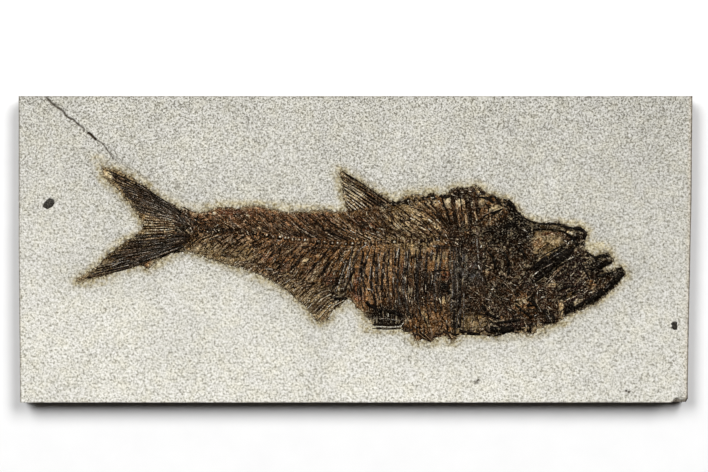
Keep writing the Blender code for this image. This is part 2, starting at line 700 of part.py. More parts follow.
def make_fish(loop):
    """The whole fish as one film of bone, with its skeleton standing out of it."""
    relief = Relief(loop)
    add_skull(relief)
    add_shoulder(relief)
    add_scutes(relief)
    add_backbone(relief)
    add_ribs(relief)
    add_fins(relief)
    add_tail(relief)
    mesh = relief.solid(TOP - POCKET_DEPTH + SEAT_GAP)
    return add_object("fossil_fish", mesh, principled("fossil_bone", FOSSIL_BONE))


clear_scene()
fish_outline = []
for stretch in FISH_STRETCHES:
    fish_outline += curve_through([plan_point(pixel) for pixel in stretch], 2)[:-1]
fish_outline.reverse()
left_flake = [plan_point(pixel) for pixel in LEFT_FLAKE]
right_flake = [plan_point(pixel) for pixel in RIGHT_FLAKE]
make_slab(fish_outline, [left_flake, right_flake])
make_fish(fish_outline)
make_flake("dark_fragment_left", left_flake)
make_flake("dark_fragment_right", right_flake)
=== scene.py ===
import math

import bmesh
import bpy
import numpy as np
from mathutils import Matrix, Vector


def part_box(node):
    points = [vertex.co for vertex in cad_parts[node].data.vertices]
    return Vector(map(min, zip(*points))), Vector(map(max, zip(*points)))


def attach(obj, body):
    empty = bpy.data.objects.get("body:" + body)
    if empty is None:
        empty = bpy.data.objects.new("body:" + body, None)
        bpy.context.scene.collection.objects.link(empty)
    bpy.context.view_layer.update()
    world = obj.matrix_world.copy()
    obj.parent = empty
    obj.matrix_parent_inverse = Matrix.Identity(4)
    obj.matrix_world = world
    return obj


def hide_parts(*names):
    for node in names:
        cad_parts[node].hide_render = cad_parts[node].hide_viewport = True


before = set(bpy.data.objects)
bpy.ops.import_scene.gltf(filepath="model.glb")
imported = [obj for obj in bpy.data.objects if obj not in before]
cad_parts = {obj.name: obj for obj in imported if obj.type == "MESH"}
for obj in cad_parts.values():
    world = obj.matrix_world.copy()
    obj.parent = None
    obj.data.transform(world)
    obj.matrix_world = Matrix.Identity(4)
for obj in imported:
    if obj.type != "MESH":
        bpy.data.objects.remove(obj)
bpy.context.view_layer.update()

# The view: the slab lies on a white table and is seen from straight above. Two wide soft lamps
# hang behind the fish's back, so the slab's shadow falls to the front and a little to each side.
slab_low, slab_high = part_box("limestone_slab")
# The slab spans 674 pixels of the photograph, FACE is its face's height in metres, and MIDDLE is
# the pixel over its middle
PIXEL = (slab_high.x - slab_low.x) / 674.0
FACE = 0.016
MIDDLE = (355.5, 249.3)
FRAME_WIDTH, FRAME_HEIGHT = 708, 472
LENS, SENSOR = 90.0, 36.0
LAMP_PLACES = [(-3.12, 3.6, 4.8), (3.12, 3.6, 4.8)]
LAMP_WIDTH, LAMP_DEPTH, LAMP_POWER = 3.36, 5.28, 495.0
SKY = 0.02
TABLE_REACH, TABLE_GAP = 4.0, 0.0002


def spot(x, y, z=FACE):
    """The place of a pixel of the photograph, in metres."""
    return Vector(((x - MIDDLE[0]) * PIXEL, (MIDDLE[1] - y) * PIXEL, z))


def show(name, data, material=None):
    """Put data in the scene as an object of one material."""
    thing = bpy.data.objects.new(name, data)
    bpy.context.scene.collection.objects.link(thing)
    if material:
        data.materials.append(material)
    return thing


def new_finish(name):
    """A new material, with its tree and its shader."""
    material = bpy.data.materials.new(name)
    material.use_nodes = True
    return material, material.node_tree, material.node_tree.nodes["Principled BSDF"]


def put(tree, kind, inputs=None, **settings):
    """Add a node with its settings, and with values or links on its sockets."""
    made = tree.nodes.new("ShaderNode" + kind)
    for setting, value in settings.items():
        setattr(made, setting, value)
    for socket, value in (inputs or {}).items():
        if isinstance(value, bpy.types.NodeSocket):
            tree.links.new(value, made.inputs[socket])
        else:
            made.inputs[socket].default_value = value
    return made


def grain(tree, scale, detail=2.0, roughness=0.6, distortion=0.0, stretch=None, turn=0.0):
    """Noise on the object's own coordinates, with scale features to the metre."""
    where = put(tree, "TexCoord").outputs["Object"]
    if stretch:
        where = put(tree, "Mapping", {"Vector": where, "Scale": stretch, "Rotation": (0, 0, turn)}).outputs[0]
    sockets = {
        "Vector": where, "Scale": scale, "Detail": detail, "Roughness": roughness, "Distortion": distortion,
    }
    return put(tree, "TexNoise", sockets).outputs["Fac"]


def ramp(tree, value, *stops):
    """Colours or levels at places from 0 to 1 along a value."""
    made = put(tree, "ValToRGB", {"Fac": value})
    while len(made.color_ramp.elements) < len(stops):
        made.color_ramp.elements.new(1.0)
    for element, (place, colour) in zip(made.color_ramp.elements, stops):
        element.position = place
        level = colour if isinstance(colour, tuple) else (colour, colour, colour)
        element.color = (*level, 1.0)
    return made.outputs["Color"]


def mixed(tree, share, first, second, blend="MIX"):
    """Two colours mixed by a share, each a socket or a colour."""
    made = put(tree, "Mix", data_type="RGBA", blend_type=blend)
    for index, value in ((0, share), (6, first), (7, second)):
        if isinstance(value, bpy.types.NodeSocket):
            tree.links.new(value, made.inputs[index])
        else:
            made.inputs[index].default_value = (*value, 1.0) if isinstance(value, tuple) else value
    return made.outputs[2]


def sums(tree, operation, first, second=0.0, third=0.0, clamp=False):
    """One step of arithmetic between sockets or numbers."""
    inputs = {0: first, 1: second}
    if operation == "MULTIPLY_ADD":
        inputs[2] = third
    return put(tree, "Math", inputs, operation=operation, use_clamp=clamp).outputs[0]


def tint(red, green, blue):
    """A colour as read off a screen, from 0 to 255, made linear."""
    levels = (red, green, blue)
    return tuple(((c / 255 + 0.055) / 1.055) ** 2.4 if c > 10 else c / 255 / 12.92 for c in levels)


camera_data = bpy.data.cameras.new("camera")
camera_data.lens = LENS
camera_data.sensor_width = SENSOR
camera = show("camera", camera_data)
camera_height = FRAME_WIDTH * PIXEL * LENS / SENSOR
camera.location = spot(FRAME_WIDTH / 2, FRAME_HEIGHT / 2, FACE + camera_height)
bpy.context.scene.camera = camera

for place_of_lamp in LAMP_PLACES:
    lamp_data = bpy.data.lights.new("softbox", "AREA")
    lamp_data.shape = "ELLIPSE"
    lamp_data.size, lamp_data.size_y = LAMP_WIDTH, LAMP_DEPTH
    lamp_data.energy = LAMP_POWER
    lamp = show("softbox", lamp_data)
    lamp.location = place_of_lamp

world = bpy.data.worlds.new("studio")
bpy.context.scene.world = world
world.use_nodes = True
world_tree = world.node_tree
seen = put(world_tree, "LightPath").outputs["Is Camera Ray"]
strength = sums(world_tree, "MULTIPLY_ADD", seen, 1.0 - SKY, SKY)
world_tree.links.new(strength, world_tree.nodes["Background"].inputs["Strength"])
world_tree.nodes["Background"].inputs["Color"].default_value = (1, 1, 1, 1)
bpy.context.scene.view_settings.view_transform = "Standard"

paper, paper_tree, paper_shader = new_finish("white_paper")
paper_white = ramp(paper_tree, grain(paper_tree, 40.0), (0.3, 0.86), (0.7, 0.88))
paper_tree.links.new(paper_white, paper_shader.inputs["Base Color"])
paper_shader.inputs["Roughness"].default_value = 0.95
paper_shader.inputs["Specular IOR Level"].default_value = 0.0
table_shape = bmesh.new()
bmesh.ops.create_grid(table_shape, x_segments=2, y_segments=2, size=TABLE_REACH)
bmesh.ops.translate(table_shape, verts=table_shape.verts, vec=(0, 0, -TABLE_GAP))
table_data = bpy.data.meshes.new("white_table")
table_shape.to_mesh(table_data)
table_shape.free()
show("white_table", table_data, paper)

# LIMESTONE SLAB: one plate of laminated lake limestone, split on its bedding, sawn square and
# scribed to an even pebbled face. A low rim of the untouched rock is left round the fish. It has
# a hairline crack from its back edge and a bite broken from one corner.
BACK_ROW, FRONT_ROW = 96.0, 402.6
LEFT_EDGE = [(96.0, 18.5), (250.0, 18.6), (402.6, 20.0)]
RIGHT_EDGE = [(96.3, 692.5), (200.0, 691.6), (275.0, 690.0), (350.0, 688.4), (402.2, 687.7)]
GRID = (424, 192)
# The slab's wall, ring by ring: how far in from the edge, and how far below the face
WALL = [(0.0002, 0.0), (0.00006, 0.00006), (0.0, 0.0002), (0.0, 0.003), (0.0, 0.0055), (0.0, 0.008),
        (0.0, 0.0105), (0.0, 0.013), (0.0, 0.016)]
RIM_RISE, RIM_SLOPE = 0.00042, 2.2
POCKET_DEPTH = 0.0010
CHIP = [(671.0, 402.8), (676.5, 398.0), (682.0, 399.6), (689.5, 398.6)]
CHIP_LIP, CHIP_FALL = 0.0006, 2.2
SPECK_DEPTH, HOLLOW_DEPTH = 0.00025, 0.0012
RIM_EDGE = [
    (89, 162), (91, 156), (98, 154.5), (105, 158), (113, 163), (124, 167), (136, 172), (148, 180.5),
    (160, 189.5), (171, 197), (183, 202.5), (197, 205), (212, 203.5), (228, 202), (256, 200.5),
    (272, 202.5), (290, 205), (312, 205), (328, 205.5), (337, 205.5), (338.5, 197), (335.5, 184),
    (332.5, 172), (333.5, 165), (340, 164), (349, 168), (362, 176), (376, 184.5), (388, 191.5),
    (396, 194.5), (402, 191), (414, 188.5), (430, 187), (445, 187), (453, 182.5), (465, 180.5),
    (479, 181.5), (491, 187), (503, 193), (513, 196.5), (521, 205), (531, 213.5), (542, 217.5),
    (557, 218), (571, 220.5), (583, 223), (592, 229), (594, 238), (604, 243.5), (613, 248),
    (618, 254), (622, 261), (630, 266), (632, 274), (627, 282), (618, 291), (609, 300), (599, 307),
    (585, 314), (572, 320), (562, 326.5), (549, 331.5), (538, 338), (520, 339), (500, 341.5),
    (480, 340.5), (466, 341), (456, 346.5), (443, 344), (430, 347.5), (415, 346), (404, 339.5),
    (397, 334), (380, 334.5), (363, 333.5), (357, 326), (356.5, 317), (351, 310.5), (345, 309.5),
    (338, 316), (331, 325), (320, 328.5), (310, 322), (299, 309.5), (287, 300.5), (275, 293.5),
    (258, 285), (240, 276), (220, 267.5), (202, 260), (187, 256.5), (173, 260.5), (161, 267),
    (151, 274), (139, 271.5), (122, 276), (104, 282), (88, 287.5), (76, 287.5), (70.5, 282),
    (76, 274.5), (86, 267), (97, 257.5), (107, 248), (119, 240.5), (130, 233.5), (136.5, 227.5),
    (133.5, 219), (126, 208), (115, 196), (103.5, 185), (96, 174),
]
FISH_EDGE = [
    (102.5, 166.5), (112, 169), (120, 171.5), (130, 176.5), (140, 183), (150, 189.5), (160, 197.5),
    (170, 203.5), (180, 207.5), (190, 210), (197, 212.5), (204, 212.5), (212, 209.5), (220, 207.5),
    (236, 208), (250, 206), (262, 207), (276, 209.5), (290, 212), (308, 211.5), (326, 210),
    (335, 212), (346, 210), (345, 202), (343, 192), (341.5, 181), (339.5, 170), (349, 174.5),
    (362, 182.5), (376, 191.5), (388, 198.5), (394, 202), (402, 199), (408, 195), (418, 195),
    (426, 195), (432, 192.5), (439, 194.5), (448, 193), (453, 188), (461, 187), (467, 188),
    (473, 186), (480, 187.5), (487, 191.5), (495, 196.5), (501, 199), (507, 199), (513, 203.5),
    (519, 211), (526, 217.5), (534, 221.5), (543, 223), (556, 223), (565, 224.5), (571, 227.5),
    (579, 227.5), (585, 230.5), (586.8, 235), (584.8, 242), (584.5, 249), (588.5, 251), (593, 254.5),
    (597, 256), (602, 253.5), (608, 252.8), (614, 260.4), (608, 266), (603.5, 270.8), (612, 269.5),
    (621.5, 267), (625.5, 273.5), (620, 281), (613.5, 288.5), (607, 295), (598, 302.3), (587, 307.8),
    (576, 312.5), (566, 317.5), (558, 321.5), (555, 324.5), (546, 326), (539, 329), (532.5, 334),
    (520, 333), (508, 333.5), (500, 336), (485, 335.5), (470, 334.5), (462, 336), (456, 338.5),
    (451, 341.5), (446, 336.5), (438, 338), (430, 342), (424, 339.5), (416, 341), (411, 335),
    (404, 330.5), (400, 328.5), (385, 328), (375, 328), (371, 321.5), (366.5, 317), (362.5, 311.5),
    (355, 306.5), (349, 298.8), (341, 305), (334, 310), (327, 319), (319.5, 321.8), (313, 315.5),
    (305, 306), (296, 298), (285, 290), (275, 282.5), (262, 275.5), (250, 270.5), (240, 267),
    (228, 264.5), (215, 260.5), (203, 256), (193, 253.5), (185, 252), (172, 253.5), (161, 258),
    (154, 265), (147.5, 269), (142, 265), (130, 267), (118, 270.5), (106, 275), (93, 279), (76, 282),
    (83, 275), (92, 269.5), (102, 261), (110, 252.5), (123, 244), (134, 235.5), (142, 228.5),
    (140.5, 219), (134, 209.5), (124, 197.5), (112, 184.5), (102.5, 174),
]
LEFT_FLAKE = [
    (49.1, 197.9), (54.0, 199.5), (54.5, 203.0), (52.7, 206.3), (47.3, 209.1), (42.5, 206.3),
    (44.3, 202.4),
]
RIGHT_FLAKE = [
    (672.9, 321.6), (676.9, 321.8), (677.3, 329.5), (673.9, 329.7), (671.0, 327.5),
    (672.6, 325.4), (670.6, 323.9),
]
# Each crack: its points, its half width in pixels, its depth, and how dark it is painted, a stain together
# with painted shade in its groove
CRACKS = [
    ([(43.5, 94), (48, 99.5), (51.5, 103), (55, 106), (59, 108.5), (62.5, 111), (64.5, 113.5)],
     1.25, 0.0011, 0.95),
    ([(54.5, 105), (60, 105.6), (63, 107.6), (66, 110.5)], 0.6, 0.0005, 0.45),
    ([(64.5, 113.5), (66, 116), (70, 118.5), (73.5, 120), (78, 124.5), (82, 127), (83.8, 128.8), (83.6, 132)],
     0.85, 0.0010, 1.0),
    ([(88, 133), (90.5, 134.5), (93, 137), (95.5, 139.5)], 1.0, 0.0016, 1.7),
    ([(95.5, 139.5), (99, 141.5), (103, 144), (105.5, 147.5), (107, 150), (110, 154), (113.5, 159)],
     0.75, 0.0007, 0.85),
    ([(71, 111), (74, 113), (78, 113), (81, 115.5), (85, 118), (90, 121), (94.5, 124.5),
      (98, 126.5), (102, 128)], 0.5, 0.0003, 0.35),
    ([(110, 127), (118, 129), (124, 132), (128, 135.5)], 0.5, 0.0002, 0.25),
    ([(111, 148.5), (114, 151), (116.5, 154.5), (118.5, 158.5)], 0.5, 0.0003, 0.35),
    ([(75, 124.5), (78, 126), (81.5, 129.5)], 0.5, 0.0002, 0.3),
    ([(572, 377), (579, 377.6), (585, 380), (592, 380.5)], 0.5, 0.0002, 0.25),
    ([(113, 158), (119, 162), (127, 167), (136, 172.5)], 0.5, 0.0002, 0.45),
    ([(108, 150), (114, 156), (122, 162), (133, 168), (141, 175)], 0.45, 0.0002, 0.35),
    ([(139, 173), (147, 180), (154, 185)], 0.5, 0.0002, 0.4),
    ([(673, 400.4), (676, 398.4), (680, 397.8), (686, 398.6)], 0.6, 0.0002, 0.7),
]
# Small dark specks of carbon in the rock: column, row, radius in pixels, darkness
SPECKS = [
    (174.8, 182.8, 1.3, 0.6), (176.8, 184.6, 1.3, 0.7), (178.6, 186.8, 1.7, 0.8), (149, 176, 2.6, 0.35),
    (157, 183, 3.2, 0.25), (162, 168.7, 1.0, 0.6), (137, 153.2, 1.0, 0.7), (127, 169, 1.1, 0.6),
    (626.2, 390.8, 1.3, 1.3), (629.0, 392, 1.3, 1.2), (652.6, 365.5, 1.0, 0.7), (577, 192.6, 1.0, 0.7),
    (630, 266.8, 0.9, 0.7), (631.2, 271.4, 1.0, 0.7), (616, 351, 1.1, 0.5), (50.5, 109, 0.9, 0.5),
    (107, 117, 0.9, 0.5), (125, 117.5, 1.1, 0.5), (87.6, 101.8, 1.0, 0.5), (65.5, 147, 1.0, 0.5),
    (101, 105.5, 1.0, 0.4), (123, 221.5, 1.0, 0.5), (96.5, 208.5, 1.0, 0.4), (135, 220.5, 1.0, 0.6),
    (593.5, 367, 1.0, 0.5), (563.5, 337, 1.3, 0.6), (546, 331.5, 1.3, 1.0), (540, 333.6, 1.0, 0.8),
    (608, 346.5, 0.9, 0.4), (473, 176, 1.0, 0.6), (479, 180.6, 1.0, 0.5), (466, 183, 0.9, 0.5),
    (201, 210, 1.0, 0.8), (269.5, 206, 1.1, 0.6), (260.5, 309, 1.0, 0.4), (101.5, 289.5, 1.0, 0.4),
    (475.2, 382.7, 1.2, 1.0), (476.6, 380.9, 1.1, 1.1), (478.6, 380.3, 1.3, 1.3), (477.4, 383, 1.2, 0.9),
    (471.2, 383.4, 0.7, 0.6), (154, 190.5, 1.2, 0.8), (160, 195, 1.2, 0.6), (168, 190, 1.1, 0.6),
    (183, 196, 1.1, 0.6), (189, 201, 1.0, 0.6), (196, 199, 1.0, 0.6), (203, 204, 1.1, 0.5),
]
# The two deep pits near the front edge, where the slab's faces are made finer
DEEP_SPECKS = SPECKS[8:10]
# Faint stains that the fish left in the rock: column, row, half width, half height, strength
STAINS = [
    (600, 246, 11, 5.5, 1.0), (602, 227, 13, 7, 0.45), (611, 265, 8, 5, 0.9), (98, 157, 7, 4, 0.75),
    (104, 178, 8, 8, 0.6), (118, 239, 16, 7, 0.35), (100, 284, 20, 4, 0.6), (160, 262, 16, 6, 0.5),
    (300, 208, 36, 5, 0.6), (255, 204, 30, 4, 0.55), (150, 174, 14, 9, 0.3), (215, 200, 24, 8, 0.3),
    (318, 318, 12, 7, 0.5), (260, 280, 40, 8, 0.25), (365, 324, 8, 8, 0.7), (385, 331, 20, 3.5, 0.7),
    (430, 344, 26, 4, 0.6), (390, 196, 12, 5, 0.6), (430, 190, 30, 4, 0.5), (480, 184, 16, 5, 0.35),
    (572, 222, 16, 4, 0.6), (565, 324, 8, 4, 0.8), (545, 335, 14, 4, 0.4), (80, 105, 12, 8, 0.2),
    (113, 121, 9, 5, 0.3), (583, 377, 10, 4, 0.3), (677, 394, 6, 5, 0.5), (340, 186, 6, 14, 0.4),
]


def between(low, high, value):
    """A smooth step from 0 at low to 1 at high."""
    share = np.clip((value - low) / (high - low), 0.0, 1.0)
    return share * share * (3 - 2 * share)


def rough(x, y, size, seed):
    """Smooth random levels from -1 to 1, with features about size across."""
    lattice = np.random.default_rng(seed).uniform(-1, 1, (256, 256))
    column, row = np.floor(x / size), np.floor(y / size)
    u, v = x / size - column, y / size - row
    u, v = u * u * (3 - 2 * u), v * v * (3 - 2 * v)
    i, j = column.astype(int) % 256, row.astype(int) % 256
    i1, j1 = (i + 1) % 256, (j + 1) % 256
    near = lattice[i, j] * (1 - u) + lattice[i1, j] * u
    far = lattice[i, j1] * (1 - u) + lattice[i1, j1] * u
    return near * (1 - v) + far * v


def smooth_line(points, steps, closed=False):
    """Points on the smooth curve through points, with steps to each span."""
    ends = np.array(points, float)
    if closed:
        ends = np.vstack([ends[-1:], ends, ends[:2]])
    else:
        ends = np.vstack([2 * ends[0] - ends[1], ends, 2 * ends[-1] - ends[-2]])
    curve = []
    for before, start, end, after in zip(ends, ends[1:], ends[2:], ends[3:]):
        for t in np.arange(steps) / steps:
            curve.append(
                start + (end - before) * (t / 2) + (2 * before - 5 * start + 4 * end - after) * (t * t / 2)
                + (3 * start - before - 3 * end + after) * (t ** 3 / 2)
            )
    if not closed:
        curve.append(ends[-2])
    return np.array(curve)


def nearest(x, y, line, closed=False):
    """The distance from each point to a line, and the nearest point on it."""
    line = np.array(line, float)
    ends = np.vstack([line[1:], line[:1]]) if closed else line[1:]
    best = np.full(x.shape, np.inf)
    best_x, best_y = np.zeros(x.shape), np.zeros(x.shape)
    for (ax, ay), (bx, by) in zip(line, ends):
        ex, ey = bx - ax, by - ay
        share = np.clip(((x - ax) * ex + (y - ay) * ey) / max(ex * ex + ey * ey, 1e-9), 0, 1)
        px, py = ax + share * ex, ay + share * ey
        gap = (x - px) ** 2 + (y - py) ** 2
        closer = gap < best
        best = np.where(closer, gap, best)
        best_x, best_y = np.where(closer, px, best_x), np.where(closer, py, best_y)
    return np.sqrt(best), best_x, best_y


def depth_inside(x, y, loop):
    """The distance from each point to a closed loop, below 0 outside it."""
    inside = np.zeros(x.shape, bool)
    for (ax, ay), (bx, by) in zip(loop, np.vstack([loop[1:], loop[:1]])):
        if ay != by:
            inside ^= ((ay > y) != (by > y)) & (x < ax + (bx - ax) * (y - ay) / (by - ay))
    gap = nearest(x, y, loop, closed=True)[0]
    return np.where(inside, gap, -gap)


def place(mesh):
    """The places of a mesh's points, as three arrays."""
    points = np.array([vertex.co for vertex in mesh.verts])
    return points[:, 0], points[:, 1], points[:, 2]


def move(mesh, x, y, z):
    """Set the places of a mesh's points."""
    for vertex, point in zip(mesh.verts, np.stack([x, y, z], 1).tolist()):
        vertex.co = point


def lay(mesh, column, row, z):
    """Set a mesh's points from their columns and rows on the photograph, and their heights."""
    move(mesh, (column - MIDDLE[0]) * PIXEL, (MIDDLE[1] - row) * PIXEL, z)


def paint(data, name, values):
    """Keep a level for each point of a mesh, for its material to read."""
    data.attributes.new(name, "FLOAT", "POINT").data.foreach_set("value", values.astype(np.float32))


def closed_mesh(mesh, name):
    """End a bmesh as a smooth-shaded mesh whose faces point outwards."""
    bmesh.ops.recalc_face_normals(mesh, faces=mesh.faces)
    data = bpy.data.meshes.new(name)
    mesh.to_mesh(data)
    mesh.free()
    data.shade_smooth()
    return data


fish_edge = smooth_line(FISH_EDGE, 4, closed=True)
fraying = 1.1 * rough(*fish_edge.T, 2.1, 10) + 0.9 * rough(*fish_edge.T, 4.6, 11)
side_ways = np.roll(fish_edge, -1, 0) - np.roll(fish_edge, 1, 0)
side_ways = side_ways[:, ::-1] * (1, -1) / np.linalg.norm(side_ways, axis=1, keepdims=True)
fish_edge = fish_edge + side_ways * fraying[:, None]
rim_edge = smooth_line(RIM_EDGE, 2, closed=True)


def slab_plan(across, back, inset):
    """Columns and rows on the slab for shares across and back of it, inset from its edge."""
    rows = FRONT_ROW - inset - (FRONT_ROW - BACK_ROW - 2 * inset) * back
    left = np.interp(rows, *zip(*LEFT_EDGE)) + inset
    right = np.interp(rows, *zip(*RIGHT_EDGE)) - inset
    return left + (right - left) * across, rows


slab_shape = bmesh.new()
bmesh.ops.create_grid(slab_shape, x_segments=GRID[0], y_segments=GRID[1], size=0.5)
face_middles = np.array([face.calc_center_median()[:2] for face in slab_shape.faces])
column, row = slab_plan(*(face_middles.T + 0.5), 0.0)
close = np.full(column.shape, np.inf)
for points, _, _, _ in CRACKS:
    close = np.minimum(close, nearest(column, row, points)[0])
for x, y, _, _ in DEEP_SPECKS:
    close = np.minimum(close, np.hypot(column - x, row - y))
close = np.minimum(close, nearest(column, row, CHIP)[0] - 1.0)
slab_shape.faces.ensure_lookup_table()
fine = {edge for i in np.flatnonzero(close < 2.2) for edge in slab_shape.faces[i].edges}
bmesh.ops.subdivide_edges(slab_shape, edges=list(fine), cuts=2, use_grid_fill=True)
edge_ring = [edge for edge in slab_shape.edges if edge.is_boundary]
for level in range(1, len(WALL)):
    made = bmesh.ops.extrude_edge_only(slab_shape, edges=edge_ring)["geom"]
    for thing in made:
        if isinstance(thing, bmesh.types.BMVert):
            thing.co.z = -level
    edge_ring = [thing for thing in made if isinstance(thing, bmesh.types.BMEdge) and thing.is_boundary]
bmesh.ops.holes_fill(slab_shape, edges=edge_ring, sides=0)

across, back, level = place(slab_shape)
level = np.rint(-level).astype(int)
insets, drops = np.array([wall[0] for wall in WALL]), np.array([wall[1] for wall in WALL])
column, row = slab_plan(across + 0.5, back + 0.5, insets[level] / PIXEL)
wander = 0.00006 * (1 + rough(column + row, row - column, 9, 1)) * (level > 0)
bedding = 0.00025 * (1 + rough(column + 2 * row, level * 7.0, 5, 2)) * ((level > 2) & (level < len(WALL) - 1))
column, row = slab_plan(across + 0.5, back + 0.5, (insets[level] + wander + bedding) / PIXEL)
fish_depth = depth_inside(column, row, fish_edge)
rim_depth = depth_inside(column, row, rim_edge)
rim_depth = rim_depth + 0.9 * rough(column, row, 3.0, 3)
on_rim = between(-0.5, RIM_SLOPE, rim_depth)
height = 0.00010 * rough(column, row, 55, 4) + 0.00006 * rough(column, row, 9, 5)
height += (0.00011 - 0.00005 * on_rim) * rough(column, row, 2.4, 6)
height += 0.00005 * rough(column, row, 1.3, 7)
height += RIM_RISE * on_rim
height -= (POCKET_DEPTH + RIM_RISE) * between(0.5, 1.9, fish_depth)
groove_and_speck_dark = np.zeros(column.shape)
for points, half_width, depth, dark_level in CRACKS:
    gap = nearest(column, row, smooth_line(points, 3))[0] + 0.25 * rough(column, row, 2.0, 8)
    groove = np.exp(-((gap / half_width) ** 2))
    height -= depth * groove
    groove_and_speck_dark = np.maximum(groove_and_speck_dark, dark_level * groove)
for x, y, radius, dark_level in SPECKS:
    pit = np.exp(-((np.hypot(column - x, row - y) / radius) ** 2))
    height -= SPECK_DEPTH * dark_level * pit
    groove_and_speck_dark = np.maximum(groove_and_speck_dark, dark_level * pit)
for flake in (LEFT_FLAKE, RIGHT_FLAKE):
    height -= HOLLOW_DEPTH * between(0.2, 1.2, depth_inside(column, row, np.array(flake)))
chip_line = np.interp(column, *zip(*CHIP))
past_chip = np.where(column > CHIP[0][0], row - chip_line + 0.5 * rough(column, row, 2.2, 9), -1)
height -= np.where(past_chip > 0, CHIP_LIP + CHIP_FALL * past_chip * PIXEL, 0)
top = FACE + height
depth_share = 1 - drops[level] / WALL[-1][1]
lay(slab_shape, column, row, top * depth_share)
slab_data = closed_mesh(slab_shape, "slab")
halo = np.zeros(column.shape)
for x, y, half_width, half_height, strength_here in STAINS:
    halo += strength_here * np.exp(-(((column - x) / half_width) ** 2) - ((row - y) / half_height) ** 2)
outward = np.maximum(-fish_depth, 0)
halo = np.clip(0.8 * halo + 1.15 * np.exp(-outward / 4.5) + 0.15 * on_rim, 0, 1)
halo *= 1 + 0.35 * rough(column, row, 4.0, 12)
halo *= between(-6.0, 0.0, rim_depth + 2.0 * (halo > 0.5))
paint(slab_data, "halo", halo)
paint(slab_data, "near_fish", np.exp(-((outward / 28) ** 2)))
paint(slab_data, "bone_dust", np.exp(-outward / 2.3))
paint(slab_data, "crack", groove_and_speck_dark)
right_side = np.interp(row, *zip(*RIGHT_EDGE)) - column
paint(slab_data, "sawn", np.where(level > 1, 1.0, 0.0))
left_side = column - np.interp(row, *zip(*LEFT_EDGE))
# A dark line is painted along the right, left and back edges of the face. It is partly the brown stain of the
# sawn edge and partly painted shade, where the slab's side falls away from the light.
shaded_edge_line = 1.1 * between(2.0, 0.7, right_side) + 0.8 * between(1.3, 0.3, left_side)
shaded_edge_line += 0.5 * between(1.2, 0.2, row - BACK_ROW)
paint(slab_data, "pink_edge", 0.5 * between(6.0, 1.5, right_side) + (past_chip > 0.3))
paint(slab_data, "edge_stain_and_shade", shaded_edge_line)

stone, tree, shader = new_finish("speckled_limestone")


def level_of(tree, name, gain=1.0):
    """A level kept on the mesh's points, or that level times a gain and held from 0 to 1."""
    level = put(tree, "Attribute", attribute_name=name).outputs["Fac"]
    return level if gain == 1.0 else sums(tree, "MULTIPLY", level, gain, clamp=True)


def tints(tree, value, *stops):
    """Colours as read off a screen at places from 0 to 1 along a value."""
    return ramp(tree, value, *((place_of_stop, tint(*colour)) for place_of_stop, colour in stops))


def fading(tree, value, start, end, first, last):
    """A level that runs from first to last while a value runs from start to end."""
    sockets = {"Value": value, "From Min": start, "From Max": end, "To Min": first, "To Max": last}
    return put(tree, "MapRange", sockets).outputs[0]


def dress(tree, shader, colour, roughness, specular, relief, strength, distance):
    """Give a shader its colour, roughness, reflection and bumps."""
    tree.links.new(colour, shader.inputs["Base Color"])
    tree.links.new(roughness, shader.inputs["Roughness"])
    shader.inputs["Specular IOR Level"].default_value = specular
    bump = put(tree, "Bump", {"Height": relief, "Strength": strength, "Distance": distance})
    tree.links.new(bump.outputs[0], shader.inputs["Normal"])


pebble = grain(tree, 640.0, 3.0, 0.62)
fleck = grain(tree, 760.0, 2.0, 0.5, 0.6)
cloud = grain(tree, 22.0, 3.0, 0.6)
warm = grain(tree, 95.0, 2.0, 0.6)
where = put(tree, "SeparateXYZ", {0: put(tree, "TexCoord").outputs["Object"]})
face_colour = tints(
    tree, pebble, (0.33, (146, 143, 130)), (0.43, (202, 200, 190)), (0.53, (229, 227, 218)),
    (0.65, (247, 246, 240)),
)
face_colour = mixed(tree, ramp(tree, fleck, (0.29, 0.85), (0.38, 0.0)), face_colour, tint(132, 126, 110))
soot = ramp(tree, grain(tree, 830.0, 1.0, 0.5), (0.36, 1.0), (0.45, 0.0))
sooty_back = fading(tree, where.outputs["Y"], -0.04, 0.115, 0.0, 0.85)
soot_share = sums(tree, "MULTIPLY_ADD", level_of(tree, "near_fish"), 0.25, sooty_back)
soot_share = sums(tree, "MULTIPLY", soot, soot_share, clamp=True)
face_colour = mixed(tree, soot_share, face_colour, tint(104, 100, 86))
hue = tints(tree, warm, (0.35, (250, 249, 249)), (0.5, (250, 249, 247)), (0.66, (251, 249, 243)))
face_colour = mixed(tree, 1.0, face_colour, hue, "MULTIPLY")
# Painted light: the face is painted darker towards its back, as painted shade standing in for light that
# falls more strongly on its front. It is also a little darker towards its right. Cloudy tone and a faint
# darkening round the fish are multiplied into the same gain.
painted_light_and_tone_gain = fading(tree, where.outputs["Y"], -0.115, 0.115, 1.0, 0.82)
right_gain = fading(tree, where.outputs["X"], 0.06, 0.25, 1.0, 0.9)
painted_light_and_tone_gain = sums(tree, "MULTIPLY", painted_light_and_tone_gain, right_gain)
painted_light_and_tone_gain = sums(tree, "MULTIPLY", painted_light_and_tone_gain, ramp(tree, cloud, (0.3, 0.93), (0.7, 1.05)))
fish_shade = sums(tree, "MULTIPLY_ADD", level_of(tree, "near_fish"), -0.08, 1.0)
painted_light_and_tone_gain = sums(tree, "MULTIPLY", painted_light_and_tone_gain, fish_shade)
painted_light_grey_gain = put(tree, "CombineXYZ", {0: painted_light_and_tone_gain, 1: painted_light_and_tone_gain, 2: painted_light_and_tone_gain}).outputs[0]
face_colour = mixed(tree, 1.0, face_colour, painted_light_grey_gain, "MULTIPLY")
halo_gain = ramp(tree, grain(tree, 330.0, 3.0, 0.7), (0.34, 0.3), (0.6, 1.25))
halo_share = sums(tree, "MULTIPLY", level_of(tree, "halo"), halo_gain, clamp=True)
